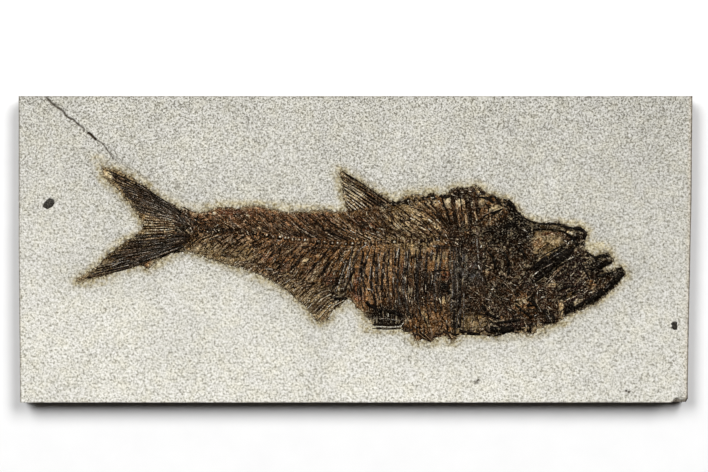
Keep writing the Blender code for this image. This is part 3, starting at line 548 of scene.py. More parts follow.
halo_tone = tints(
    tree, pebble, (0.34, (104, 92, 62)), (0.44, (152, 140, 108)), (0.54, (186, 175, 144)),
    (0.66, (216, 208, 182)),
)
face_colour = mixed(tree, halo_share, face_colour, halo_tone)
dust = ramp(tree, grain(tree, 620.0, 2.0, 0.6), (0.44, 1.0), (0.53, 0.0))
dust_share = sums(tree, "MULTIPLY", level_of(tree, "bone_dust"), dust)
face_colour = mixed(tree, dust_share, face_colour, tint(66, 50, 32))
# Cracks and specks are painted dark. The specks take the dark of their carbon. In the cracks the dark is a
# stain together with painted shade in the groove.
groove_and_speck_share = sums(tree, "MULTIPLY", level_of(tree, "crack"), 1.0, clamp=True)
face_colour = mixed(tree, groove_and_speck_share, face_colour, tint(54, 43, 26))
# The sawn sides show their bedding layers. They are painted a darker brown than the face, and that darkness
# is painted shade.
layers = grain(tree, 90.0, 4.0, 0.7, 0.3, (0.35, 0.35, 9.0))
side_colour = tints(
    tree, layers, (0.3, (58, 47, 31)), (0.48, (84, 70, 48)), (0.62, (106, 92, 68)), (0.75, (68, 55, 36)),
)
# The dark edge line painted here is partly stain and partly painted shade.
for name, gain, dark, pale in [
    ("pink_edge", 0.6, (160, 144, 120), (222, 206, 182)), ("edge_stain_and_shade", 0.92, (42, 31, 17), (92, 77, 54)),
]:
    edge_colour = tints(tree, pebble, (0.35, dark), (0.65, pale))
    face_colour = mixed(tree, level_of(tree, name, gain), face_colour, edge_colour)
colour = mixed(tree, level_of(tree, "sawn"), face_colour, side_colour)
bumps = sums(tree, "ADD", pebble, sums(tree, "MULTIPLY", grain(tree, 1100.0, 2.0, 0.6), 0.35))
dress(tree, shader, colour, ramp(tree, pebble, (0.3, 0.97), (0.7, 0.86)), 0.25, bumps, 0.7, 0.0006)

slab = show("slab_stone", slab_data, stone)
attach(slab, "root")
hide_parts("limestone_slab")

# FISH FILM: the squashed body, a skin of dark brown bone and scale that mineralised as one piece
# with the skeleton. It lies in the rock, swells a little in the middle and is broken into tiny
# platelets. The broad bones of the head and the shoulder are thicker plates of the same film.
FILM_STEP = 0.73
FILM_PROUD, BODY_SWELL, SWELL_REACH = 0.0005, 0.0009, 0.014
FILM_FOOT = -0.0007
# The film's platelets to the metre, and how far their seams wander
PLATELETS, SEAM_WANDER = 560.0, 0.0028
# The row along which the body's streaks turn
BODY_ROW = 241
# The tints that the bone took up in the rock, as read off a screen
TINTS = {
    "black": (16, 10, 5), "umber": (48, 32, 19), "brown": (108, 76, 44), "chestnut": (102, 64, 44),
    "rust": (124, 85, 54), "orange": (140, 98, 56), "tan": (172, 144, 100), "cream": (212, 194, 156),
    "olive": (134, 110, 72), "slate": (76, 74, 70), "plum": (38, 25, 21), "bone": (172, 156, 124),
}
# Broad plates: the outline of each, how far it stands out, and the width of its sloping edge
PLATES = [
    ([(510, 204.5), (518, 213), (526, 219.5), (534, 223.5), (545, 225), (557, 225), (566, 228),
      (576, 229.5), (584, 233), (582, 240), (574, 237.5), (564, 232.5), (548, 231), (534, 230),
      (523, 223), (513, 214)], 0.0009, 1.6),
    ([(495, 214), (505, 213), (515, 219.5), (526, 228), (529, 238), (520, 244.5), (506, 242.5),
      (494, 236.5), (488, 226)], 0.0005, 2.4),
    ([(529, 266), (540, 259.5), (551, 254), (562, 247.5), (572, 243), (581, 244.5), (582, 253),
      (572, 260), (560, 265.5), (549, 275), (537, 283.5), (529, 278)], 0.0007, 2.0),
    ([(486, 246), (496, 242), (509, 247), (520, 252), (525.5, 264), (524, 279), (519, 292),
      (505, 299), (492, 295), (485.5, 280), (484.5, 262)], 0.0004, 2.6),
    ([(542, 289), (552, 278), (563, 270), (576, 264), (586, 264), (591, 272), (588, 284),
      (577, 293), (561, 301), (548, 300)], 0.0003, 2.4),
    ([(587, 252.5), (595, 258), (601, 255), (607.5, 254), (612, 260.4), (605, 266), (598, 269),
      (589, 262)], 0.0008, 1.6),
    ([(607, 272.5), (620, 269), (623.5, 273.5), (612, 286), (603, 296), (592, 303), (578, 309),
      (567, 314.5), (566, 307), (580, 298), (592, 290), (600, 281)], 0.0008, 1.7),
    ([(487, 326), (494, 320), (508, 317.5), (521, 316.5), (527, 322), (524, 329), (510, 331.5),
      (495, 332.5)], 0.0007, 2.0),
    ([(544.5, 309), (549.5, 312.5), (553.5, 321.5), (549, 324.5), (544, 322.5), (543.5, 315)],
     0.0010, 1.2),
    ([(506, 307), (519, 301.5), (532, 296), (539, 303), (535, 311.5), (523, 310), (511, 312.5)],
     0.0004, 2.0),
    ([(504, 200), (508.5, 200), (513, 206), (517, 213), (513, 213.5), (506, 208)], 0.0010, 1.2),
    ([(449, 252), (457, 250), (459, 275), (459, 300), (456, 324), (451, 325), (451, 300),
      (450, 275)], 0.0004, 1.5),
]
# The film's broad zones of colour: column, row, reach in pixels, tint
ZONES = [
    (118, 182, 18, "olive"), (150, 196, 16, "umber"), (166, 206, 10, "plum"), (158, 226, 12, "olive"),
    (96, 270, 16, "olive"), (125, 256, 14, "umber"), (158, 250, 16, "black"), (181, 228, 10, "black"),
    (222, 218, 22, "rust"), (215, 232, 10, "umber"), (212, 249, 14, "olive"), (242, 257, 12, "olive"),
    (280, 222, 26, "rust"), (270, 246, 16, "brown"), (300, 266, 20, "brown"), (286, 283, 12, "tan"),
    (318, 304, 14, "olive"), (336, 290, 10, "black"), (350, 192, 12, "tan"), (382, 202, 14, "umber"),
    (372, 218, 16, "brown"), (405, 222, 18, "olive"), (430, 214, 12, "brown"), (462, 212, 16, "umber"),
    (375, 272, 20, "orange"), (384, 315, 11, "black"), (405, 300, 10, "umber"), (412, 285, 14, "umber"),
    (438, 262, 9, "orange"), (432, 322, 12, "brown"), (456, 290, 10, "umber"), (470, 300, 14, "umber"),
    (472, 240, 12, "umber"), (466, 270, 10, "slate"), (492, 210, 10, "brown"), (507, 228, 14, "black"),
    (506, 268, 18, "umber"), (506, 285, 10, "black"), (548, 244, 7, "olive"), (555, 264, 12, "black"),
    (535, 288, 12, "plum"), (568, 280, 14, "plum"), (550, 292, 9, "umber"), (578, 240, 9, "umber"),
    (602, 262, 9, "black"), (594, 284, 9, "umber"), (508, 325, 12, "plum"), (525, 304, 9, "brown"),
    (546, 314, 9, "umber"), (474, 328, 10, "olive"), (500, 302, 10, "umber"), (600, 296, 8, "umber"),
]
# Patches where the tint is other than in the zone: column, row, half length, half width, turn, tint
PATCHES = [
    (539, 244, 6, 5, -38, "orange"), (554, 240.5, 7, 4.5, 0, "tan"), (547, 256, 14, 2.6, -30, "tan"),
    (549, 234, 9, 2.0, -6, "chestnut"), (547, 245, 8, 1.2, -45, "umber"), (536, 250, 4, 3, -30, "tan"),
    (538, 328, 6, 4.5, -50, "tan"), (561, 311, 2.2, 9, 0, "tan"), (506, 318, 6, 2.2, -6, "orange"),
    (520, 302, 6, 3, -30, "tan"), (591, 284, 5, 3.4, 40, "orange"), (552, 284, 4, 3, 0, "tan"),
    (571, 295, 4, 2.4, -20, "tan"), (576, 303, 6, 2.4, -35, "cream"), (503, 204, 3, 4, 10, "tan"),
    (481, 202, 3, 4.5, 10, "tan"), (492, 208, 5, 4, -30, "tan"), (483, 192, 9, 3, 22, "tan"),
    (485, 273, 4, 3, 0, "orange"), (447.5, 203, 3.2, 4.6, -15, "tan"), (448, 200.5, 2.4, 2, 0, "cream"),
    (451, 212, 1.6, 4.5, -15, "orange"), (460, 202.5, 3.4, 3.4, 0, "cream"),
    (461.5, 210, 2.2, 4.6, -5, "orange"), (471, 203.5, 1.7, 2.8, 0, "cream"),
    (482, 213, 2, 3.4, -10, "orange"), (483, 202, 2.6, 3.4, 0, "tan"), (435.5, 203, 2.6, 4, -20, "tan"),
    (428.5, 203.5, 2.6, 2.8, 30, "tan"), (422, 216, 11, 2.6, 33, "tan"), (436, 226, 5, 2.4, 45, "tan"),
    (495, 210, 5.4, 3.8, -25, "cream"), (438, 264, 10, 9, 0, "orange"), (438, 257, 9, 4, -6, "tan"),
    (441, 247, 13, 1.8, 4, "black"), (449.5, 262, 1.6, 12, 0, "black"), (429, 275, 12, 2.0, -16, "black"),
    (446, 276, 5, 5, 0, "chestnut"), (435, 322, 3.4, 8, -14, "orange"), (426, 320, 2.4, 9, -20, "tan"),
    (444, 286, 6, 4.5, 0, "black"), (444, 300, 3.4, 4, 0, "tan"), (361, 268, 2, 12, -8, "orange"),
    (356, 282, 3, 10, 0, "chestnut"), (375, 272, 3, 14, -4, "orange"), (359, 296, 7, 6, 20, "chestnut"),
    (353, 268, 1.6, 15, 4, "tan"), (388, 261, 1.6, 10, -10, "olive"), (394, 262, 2.4, 4, 20, "orange"),
    (393, 272, 3.2, 5, 0, "orange"), (394, 284, 3, 5, 0, "black"), (412, 264, 2, 8, 0, "orange"),
    (419, 262, 3, 6, 0, "slate"), (404, 268, 2.4, 8, 0, "chestnut"), (330, 279, 6, 6, -30, "chestnut"),
    (285, 266, 6, 5, -30, "chestnut"), (267, 258, 5, 4, 0, "chestnut"), (308, 272, 6, 4, -40, "chestnut"),
    (316, 275, 3, 6, 30, "tan"), (305, 261, 4, 2.5, -40, "tan"), (340, 285, 2.4, 9, 14, "tan"),
    (300, 211.5, 28, 2, 0, "tan"), (240, 229, 30, 3.0, 4, "umber"), (305, 234, 34, 3.0, 5, "umber"),
    (300, 246.5, 44, 1.4, 3, "umber"), (345, 214, 9, 3.4, 10, "orange"),
    (238, 214, 22, 3.4, 0, "chestnut"), (214, 214, 2, 1.8, 0, "cream"), (247, 216, 2, 1.6, 0, "cream"),
    (218, 229, 12, 4, -3, "black"), (228, 256, 10, 2.2, 10, "black"), (258, 265, 14, 2.4, 20, "umber"),
    (205, 247, 10, 4, 0, "tan"), (244, 262, 12, 2.6, 16, "olive"), (365, 225, 14, 5, 24, "chestnut"),
    (410, 225, 10, 4, 20, "tan"), (386, 315, 14, 5, 0, "black"), (386, 322.5, 12, 1.2, 0, "black"),
    (368, 324, 4, 4, 30, "cream"), (108, 175, 5, 3, 30, "cream"), (122, 195, 12, 2.6, 46, "olive"),
    (96, 266, 12, 3, -36, "olive"), (118, 249, 14, 2.6, -34, "olive"), (148, 264, 5, 3.6, -50, "brown"),
    (180, 226, 5, 7, 0, "black"), (183, 236, 6, 2, 0, "chestnut"), (352, 191, 11, 7, 40, "cream"),
    (352, 205, 8, 4, 10, "tan"), (365, 188.5, 22, 4.0, 35, "black"), (378, 202, 14, 3.5, 34, "black"),
    (400, 203, 12, 2.4, -10, "black"), (320, 315, 6, 5, -50, "tan"), (300, 300, 8, 4, 38, "tan"),
    (338, 298, 8, 2.6, -32, "black"), (283, 286, 8, 3, 38, "tan"), (586, 297, 9, 3, -34, "umber"),
    (600, 262, 10, 4, -10, "black"), (612, 264.5, 7, 2.4, -40, "cream"), (570, 233, 3.4, 2, 0, "cream"),
    (578, 234, 5, 5, 0, "black"), (495, 330, 10, 3, 8, "black"), (514, 225, 6, 4, 0, "black"),
    (524, 330, 6, 1.8, -20, "tan"), (553, 265, 3, 16, 38, "black"), (548, 316, 4, 7, 0, "black"),
    (515, 211, 2.6, 12, -40, "black"), (560, 228, 22, 2.4, 4, "black"), (465, 230, 9, 3, 20, "black"),
    (505, 290, 10, 3, -20, "umber"), (598, 302, 12, 2.2, -32, "black"), (617, 278, 8, 3, -42, "black"),
    (560, 285, 6, 3, -40, "black"), (533, 300, 5, 3, 30, "black"), (470, 262, 4, 9, 0, "umber"),
]


def plaque(outline, step):
    """A fine sheet that fills an outline in pixels, with a wall round it down to level -1."""
    (left, back), (right, front) = outline.min(0) - 1, outline.max(0) + 1
    sheet = bmesh.new()
    bmesh.ops.create_grid(
        sheet, size=0.5, x_segments=round((right - left) / step), y_segments=round((front - back) / step),
    )
    across, along, _ = place(sheet)
    column, row = left + (across + 0.5) * (right - left), front - (along + 0.5) * (front - back)
    depth = depth_inside(column, row, outline)
    outside = set(np.flatnonzero(depth <= 0).tolist())
    sheet.verts.index_update()
    spare = [face for face in sheet.faces if all(vertex.index in outside for vertex in face.verts)]
    near_edge = np.flatnonzero((depth <= 0) & (depth > -3 * step))
    _, column[near_edge], row[near_edge] = nearest(column[near_edge], row[near_edge], outline, closed=True)
    move(sheet, column, row, np.zeros(column.shape))
    bmesh.ops.delete(sheet, geom=spare, context="FACES")
    bmesh.ops.remove_doubles(sheet, verts=sheet.verts, dist=step / 11)
    ring = [edge for edge in sheet.edges if edge.is_boundary]
    made = bmesh.ops.extrude_edge_only(sheet, edges=ring)["geom"]
    low_verts = [thing for thing in made if isinstance(thing, bmesh.types.BMVert)]
    bmesh.ops.translate(sheet, verts=low_verts, vec=(0, 0, -1))
    foot = [thing for thing in made if isinstance(thing, bmesh.types.BMEdge) and thing.is_boundary]
    bmesh.ops.holes_fill(sheet, edges=foot, sides=0)
    return sheet


def film_height(column, row):
    """The smooth height of the film and its plates over the face, and the depth inside its edge."""
    depth = np.maximum(depth_inside(column, row, fish_edge), 0.0)
    rise = np.zeros(column.shape)
    for outline, tallest, slope in PLATES:
        loop = smooth_line(outline, 2, closed=True)
        (x0, y0), (x1, y1) = loop.min(0) - 1, loop.max(0) + 1
        near = (column > x0) & (column < x1) & (row > y0) & (row < y1)
        level = tallest * between(0.0, slope, depth_inside(column[near], row[near], loop))
        rise[near] = np.maximum(rise[near], level)
    swell = BODY_SWELL * (1.0 - np.exp(-depth * PIXEL / SWELL_REACH))
    return FILM_PROUD + swell + rise * between(0.0, 3.0, depth), depth


def slanting(column, row, lean, size, seed):
    """Random streaks that lie along a lean from upright."""
    angle = math.radians(lean)
    along = column * math.sin(angle) + row * math.cos(angle)
    return rough(along / 5, column * math.cos(angle) - row * math.sin(angle), size, seed)


def tint_of(name):
    """A tint of the film, made linear."""
    return np.array(tint(*TINTS[name]))


def cover(colour, share, other):
    """Lay another colour over the colours of points, with a share for each point."""
    colour += share[:, None] * (other - colour)


def paint_colour(data, colour):
    """Keep a colour for each point of a mesh, for its material to read."""
    whole = np.concatenate([colour, np.ones((len(colour), 1))], 1).astype(np.float32)
    data.attributes.new("bone_colour", "FLOAT_COLOR", "POINT").data.foreach_set("color", whole.ravel())


film_shape = plaque(fish_edge, FILM_STEP)
column, row, level = place(film_shape)
swell, depth = film_height(column, row)
above = between(3, -3, row - BODY_ROW) * between(475, 430, column)
below = between(-3, 3, row - BODY_ROW) * between(365, 345, column)
upright = between(-3, 3, row - 243) * between(345, 365, column) * between(490, 470, column)
streaks = above * slanting(column, row, 50, 1.5, 23) + below * slanting(column, row, -46, 1.5, 24)
streaks += 0.7 * upright * slanting(column, row, -3, 1.5, 25)
elsewhere = np.clip(1 - above - below - upright, 0, 1)
swirl = math.pi * rough(column, row, 11, 32)
for turn, seed in ((0, 33), (45, 34), (90, 35), (135, 36)):
    share = np.maximum(np.cos(2 * (swirl - math.radians(turn))), 0) ** 0.7
    streaks += elsewhere * share * slanting(column, row, turn, 1.4, seed)
crumbs = 0.00014 * rough(column, row, 1.6, 21) + 0.00010 * rough(column, row, 3.1, 22)
crumbs += 0.00010 * streaks
flaked = between(0.2, 0.45, rough(column, row, 4.2, 26) * 0.6 + rough(column, row, 1.9, 27) * 0.5)
crumbs -= 0.00016 * flaked
top = FACE + swell + crumbs * (0.25 + 0.75 * between(0, 3, depth))
lay(film_shape, column, row, np.where(level < 0, FACE + FILM_FOOT, top))
film_data = closed_mesh(film_shape, "film")

weights, film_colour = np.zeros(column.shape), np.zeros((len(column), 3))
for x, y, reach, name in ZONES:
    weight = np.exp(-((column - x) ** 2 + (row - y) ** 2) / reach ** 2) + 1e-9
    weights += weight
    film_colour += weight[:, None] * tint_of(name)
film_colour /= weights[:, None]
ragged = 0.34 * rough(column, row, 2.6, 28) + 0.24 * rough(column, row, 1.5, 29)
for x, y, half_length, half_width, turn, name in PATCHES:
    c, s = math.cos(math.radians(turn)), math.sin(math.radians(turn))
    dx, dy = column - x, row - y
    gap = np.hypot((dx * c + dy * s) / half_length, (dy * c - dx * s) / half_width)
    cover(film_colour, 0.85 * between(1.3, 0.7, gap + ragged), tint_of(name))
warmth = rough(column, row, 7, 30) + 0.6 * rough(column, row, 3, 31)
coolness = rough(column, row, 4, 39)
film_colour *= np.exp(warmth[:, None] * (0.28, 0.25, 0.22) + coolness[:, None] * (-0.08, 0.0, 0.24))
# A painted shadow darkens the gap along each plate's edge. Here and there a pale bone lip runs just inside
# it.
for outline, _, _ in PLATES:
    plate_gap = depth_inside(column, row, smooth_line(outline, 2, closed=True)) + 1.2 * ragged
    film_colour *= (1 - 0.85 * np.exp(-((plate_gap / 0.9) ** 2)))[:, None]
    lip = 0.5 * np.exp(-(((plate_gap - 1.7) / 0.6) ** 2)) * between(0.0, 0.5, rough(column, row, 5, 38))
    cover(film_colour, lip, tint_of("bone"))
film_colour *= 1.05 * np.exp(0.8 * streaks - 0.5 * flaked)[:, None]
# The lighter the film, the less red it is
EYE_WEIGHTS = (0.21, 0.72, 0.07)
black, bone = tint_of("black"), tint_of("bone")
brightness = film_colour @ EYE_WEIGHTS
bone_as_bright = bone * (brightness / (bone @ EYE_WEIGHTS))[:, None]
cover(film_colour, 0.42 * between(0.05, 0.22, brightness), bone_as_bright)
cover(film_colour, between(0.5, 0.85, streaks + 0.5 * rough(column, row, 8, 37)) * 0.55, bone)
fringe_pale = between(-0.1, 0.25, rough(column, row, 1.7, 43))[:, None]
fringe = 0.75 * between(2.8, 0.4, depth + 1.5 * ragged)
cover(film_colour, fringe, black + fringe_pale * (bone - black))
paint_colour(film_data, film_colour)

film, tree, shader = new_finish("dark_bone_film")
own = put(tree, "Attribute", attribute_name="bone_colour").outputs["Color"]
where = put(tree, "TexCoord").outputs["Object"]
wander = put(tree, "TexNoise", {"Vector": where, "Scale": 620.0, "Detail": 2.0}).outputs["Color"]
wander = put(tree, "VectorMath", {0: wander, 1: (0.5, 0.5, 0.5)}, operation="SUBTRACT").outputs[0]
wander = put(tree, "VectorMath", {0: wander, "Scale": SEAM_WANDER}, operation="SCALE").outputs[0]
warped = put(tree, "VectorMath", {0: where, 1: wander}, operation="ADD").outputs[0]
cell_inputs = {"Vector": warped, "Scale": PLATELETS}
cells = put(tree, "TexVoronoi", cell_inputs)
seams = put(tree, "TexVoronoi", cell_inputs, feature="DISTANCE_TO_EDGE").outputs["Distance"]
cell_level = put(tree, "SeparateColor", {0: cells.outputs["Color"]})
gain = ramp(tree, cell_level.outputs[0], (0.0, 0.35), (0.35, 0.7), (0.7, 1.2), (1.0, 1.8))
fine_grain = grain(tree, 1150.0, 1.0, 0.5)
fine_gain = ramp(
    tree, fine_grain, (0.34, (0.05, 0.03, 0.01)), (0.44, (0.38, 0.31, 0.20)), (0.51, (1.05, 1.0, 0.92)),
    (0.58, (1.6, 1.62, 1.7)), (0.66, (2.3, 2.4, 2.8)),
)
colour = mixed(tree, 1.0, own, gain, "MULTIPLY")
colour = mixed(tree, 1.0, colour, fine_gain, "MULTIPLY")
light = put(tree, "RGBToBW", {0: own}).outputs[0]
colour = mixed(tree, sums(tree, "MULTIPLY", light, 1.6, clamp=True), colour, own)
pits = grain(tree, 600.0, 2.0, 0.6)
colour = mixed(tree, ramp(tree, pits, (0.34, 0.85), (0.43, 0.0)), colour, tint(24, 11, 2))
# Painted highlights: pale cream flecks stand in for the glints of glossy bone. They come from a second grain
# and from where the fine grain is brightest.
painted_glint_flecks = grain(tree, 940.0, 1.0, 0.5, 0.3)
painted_glint_colour = mixed(tree, 0.42, own, tint(216, 202, 174))
colour = mixed(tree, ramp(tree, fine_grain, (0.61, 0.0), (0.69, 0.7)), colour, painted_glint_colour)
colour = mixed(tree, ramp(tree, painted_glint_flecks, (0.64, 0.0), (0.70, 0.85)), colour, painted_glint_colour)
colour = mixed(tree, ramp(tree, seams, (0.02, 0.5), (0.12, 0.0)), colour, tint(10, 6, 2))
roughness = ramp(tree, cell_level.outputs[2], (0.2, 0.22), (0.9, 0.4))
relief = sums(tree, "ADD", ramp(tree, seams, (0.0, 0.0), (0.3, 1.0)), fine_grain)
dress(tree, shader, colour, roughness, 0.008, relief, 0.6, 0.0005)

fish = show("fish_film", film_data, film)
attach(fish, "root")
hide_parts("fossil_fish")

# BACKBONE: forty-odd squashed spools in a row, each with a pale dot painted on its crest as a
# highlight, and each joined to the film. They grow from the tail to the middle of the body and sink under the
# shoulder.
BACKBONE = [
    (192, 231.5), (217, 231.6), (246, 232.8), (277, 237.4), (308, 240.8), (330, 242.8), (349, 243.6),
    (370, 243.4), (391, 241.6), (422, 240.6), (438, 238.4), (456, 234.8), (471, 233),
]
FIRST_PITCH, LAST_PITCH, VERTEBRAE = 5.7, 7.6, 42
TAIL_END, SHOULDER_END = 193.0, 471.0
# How a bone's tint goes from dark to pale, warm and cold, as read off a screen; the cold blue-grey is a
# painted sheen of glossy bone
WARM_TONES = [(16, 10, 4), (50, 33, 18), (104, 77, 50), (164, 140, 106), (220, 206, 178)]
COLD_TONES = [(14, 11, 8), (44, 38, 32), (90, 85, 78), (148, 144, 136), (210, 206, 194)]


def bars(name, bones, sides, finish):
    """A piece made of bones: rounded bars, each along its own line on the film.

    A bone is its points, its half widths from end to end, how far it stands out, how pale it
    is from 0 to 1, and how cold, the cold blue-grey being a painted sheen of glossy bone.
    """
    stations = 6
    bar = bmesh.new()
    lying = Matrix.Rotation(math.pi / 2, 4, "Y")
    bmesh.ops.create_cone(
        bar, cap_ends=True, segments=sides, radius1=1, radius2=1, depth=1, matrix=lying,
    )
    lengthwise = [edge for edge in bar.edges if abs(edge.verts[0].co.x - edge.verts[1].co.x) > 0.5]
    bmesh.ops.subdivide_edges(bar, edges=lengthwise, cuts=stations - 1)
    along, side, up = place(bar)
    station = np.rint((along + 0.5) * stations).astype(int)
    template = bpy.data.meshes.new("bar")
    bar.to_mesh(template)
    bar.free()
    group = bmesh.new()
    for _ in bones:
        group.from_mesh(template)
    bpy.data.meshes.remove(template)

    shares = np.linspace(0, 1, stations + 1)
    lines = np.array([spread(points, shares) for points, *_ in bones])
    widths = np.array([np.interp(shares, np.linspace(0, 1, len(half)), half) for _, half, *_ in bones])
    rises, tones, colds = (np.array([bone[i] for bone in bones])[:, None] for i in (2, 3, 4))
    ways = np.gradient(lines, axis=1)
    ways /= np.maximum(np.linalg.norm(ways, axis=2, keepdims=True), 1e-6)
    column = lines[:, station, 0] - ways[:, station, 1] * side * widths[:, station]
    row = lines[:, station, 1] + ways[:, station, 0] * side * widths[:, station]
    seat, _ = film_height(lines[..., 0].ravel(), lines[..., 1].ravel())
    seat = seat.reshape(lines.shape[:2])
    ends = 0.45 + 0.55 * np.sin(math.pi * np.clip(shares, 0.06, 0.94))
    height = FACE + seat[:, station] + up * rises * ends[station]
    column, row, height = column.ravel(), row.ravel(), height.ravel()
    lay(group, column, row, height)
    data = closed_mesh(group, name)
    number = np.repeat(np.arange(len(bones)) * 3.7, len(along))
    tone = np.repeat(tones, len(along), 1).ravel()
    tone = tone + 0.22 * rough(column + number, row, 2.6, 40) + 0.16 * rough(column + number, row, 6.5, 41)
    cold = np.repeat(colds, len(along), 1).ravel() + 0.3 * rough(column, row, 5, 42)
    cold = np.clip(cold, 0, 1)[:, None]
    steps = np.linspace(0, 1, len(WARM_TONES))
    warm, cool = (
        np.stack([np.interp(tone, steps, shades) for shades in zip(*(tint(*shade) for shade in scale))], 1)
        for scale in (WARM_TONES, COLD_TONES)
    )
    paint_colour(data, warm + cold * (cool - warm))
    piece = show(name, data, finish)
    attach(piece, "root")
    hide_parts("fossil_fish")
    return piece


def spread(points, shares):
    """Points at shares of the length of a run of points."""
    points = np.array(points, float)
    runs = np.concatenate([[0], np.cumsum(np.hypot(*np.diff(points, axis=0).T))])
    return np.stack([np.interp(np.array(shares) * runs[-1], runs, points[:, i]) for i in (0, 1)], 1)


ridge, tree, shader = new_finish("ridged_bone")
own = put(tree, "Attribute", attribute_name="bone_colour").outputs["Color"]
flecks = grain(tree, 1050.0, 1.0, 0.5)
fleck_gain = ramp(
    tree, flecks, (0.34, (0.06, 0.04, 0.02)), (0.44, (0.40, 0.34, 0.24)), (0.51, (1.0, 0.97, 0.91)),
    (0.58, (1.55, 1.55, 1.6)), (0.68, (2.3, 2.35, 2.5)),
)
colour = mixed(tree, 1.0, own, fleck_gain, "MULTIPLY")
# Painted highlights: pale cream flecks stand in for the glints of glossy bone.
painted_glint_flecks = grain(tree, 900.0, 1.0, 0.5, 0.3)
painted_glint_colour = mixed(tree, 0.25, own, tint(216, 204, 176))
colour = mixed(tree, ramp(tree, painted_glint_flecks, (0.65, 0.0), (0.73, 0.6)), colour, painted_glint_colour)
colour = put(tree, "VectorMath", {0: colour, 1: (0.72, 0.68, 0.58)}, operation="MINIMUM").outputs[0]
roughness = ramp(tree, grain(tree, 300.0), (0.35, 0.18), (0.65, 0.34))
dress(tree, shader, colour, roughness, 0.02, flecks, 0.8, 0.0006)

chance = np.random.default_rng(7)
backbone = smooth_line(BACKBONE, 6)


def backbone_row(x):
    """The row of the backbone's middle at a column."""
    return np.interp(x, backbone[:, 0], backbone[:, 1])


pitches = np.linspace(FIRST_PITCH, LAST_PITCH, VERTEBRAE)
spool_ends = TAIL_END + np.concatenate([[0], np.cumsum(pitches)])
stretched = (spool_ends - TAIL_END) * (SHOULDER_END - TAIL_END)
spool_ends = TAIL_END + stretched / (spool_ends[-1] - TAIL_END)
spools = []
for start, end in zip(spool_ends, spool_ends[1:]):
    x = (start + end) / 2
    seen = 262 < x < 405
    line = [(start + 0.7, backbone_row(start)), (end - 0.7, backbone_row(end))]
    size = np.interp(x, [193, 260, 350, 471], [1.9, 2.4, 3.0, 2.6])
    half_widths = (0.75 * size, size, 0.68 * size, 0.68 * size, size, 0.75 * size)
    spools.append((line, half_widths, 0.00030, chance.uniform(0.02, 0.26), chance.uniform(0, 0.3)))
    # Painted highlight: a pale dot on the spool's crest.
    glint_dot = np.array([x + chance.uniform(-0.8, 0.8), backbone_row(x) + chance.uniform(-0.9, 0.5)])
    for shift in (0.0, 2.4) if seen and chance.uniform(0, 1) < 0.4 else (0.0,):
        reach = chance.uniform(0.8, 1.3) * (1.0 if seen else 0.6)
        line = [glint_dot + (shift - reach, 0), glint_dot + (shift + reach, chance.uniform(-0.5, 0.5))]
        pale = chance.uniform(0.6, 1.05) - (0.0 if seen else 0.2) - 0.1 * shift
        spools.append((line, (0.8, 1.3 if seen else 0.8, 0.8), 0.00060, pale, chance.uniform(0.0, 0.5)))
bars("vertebrae", spools, 7, ridge)

# SPINES: one thin rod above and below each vertebra, swept back to the tail, with finer rods of
# the flesh between and across them. All lie flat in the film.
NEURAL_REACH = [
    (170, 213), (200, 215.5), (250, 210), (300, 214), (345, 214), (400, 210), (412, 213), (440, 229),
]
NEURAL_LEAN = [(190, 52), (250, 48), (330, 54), (380, 56), (400, 52), (440, 38)]
HAEMAL_REACH = [
    (170, 243), (200, 248), (225, 255), (251, 260), (269, 266), (295, 277), (320, 286), (350, 296),
]
HAEMAL_LEAN = [(190, 60), (230, 55), (300, 44), (352, 30)]


def spine(x, way, leans, reach, jitter):
    """A spine's two ends, from the backbone at column x to the line that its kind reaches."""
    lean = math.radians(np.interp(x, *zip(*leans)) + chance.uniform(-jitter, jitter))
    start = np.array([x, backbone_row(x) + way * 3.2])
    gaps = np.arange(0, 90, 0.5)
    columns, rows = start[0] - math.sin(lean) * gaps, start[1] + way * math.cos(lean) * gaps
    short = (np.interp(columns, *zip(*reach)) - rows) * way > 0
    last = gaps[np.flatnonzero(short)[-1]] if short.any() else 2.0
    bow = 0.05 * last
    middle = start + np.array([-math.sin(lean), way * math.cos(lean)]) * last / 2 + (-bow, -way * bow)
    return [start, middle, start + np.array([-math.sin(lean), way * math.cos(lean)]) * last]


def broken(bone, parts, shift=0.4):
    """A bone snapped across into parts that lie a little out of line."""
    points, half_widths, rise, tone, cold = bone
    cuts = np.linspace(0, 1, parts + 1)
    cuts[1:-1] += chance.uniform(-0.35, 0.35, parts - 1) / parts
    pieces = []
    for first, last in zip(cuts, cuts[1:]):
        shares = np.linspace(first, last - 0.02, 4)
        line = spread(points, shares) + chance.uniform(-shift, shift, 2)
        widths = np.interp(shares, np.linspace(0, 1, len(half_widths)), half_widths)
        widths = widths * chance.uniform(0.65, 1.2)
        height = rise * chance.uniform(0.5, 1.25)
        pieces.append((line, widths, height, tone + chance.uniform(-0.14, 0.2), cold))
    return pieces


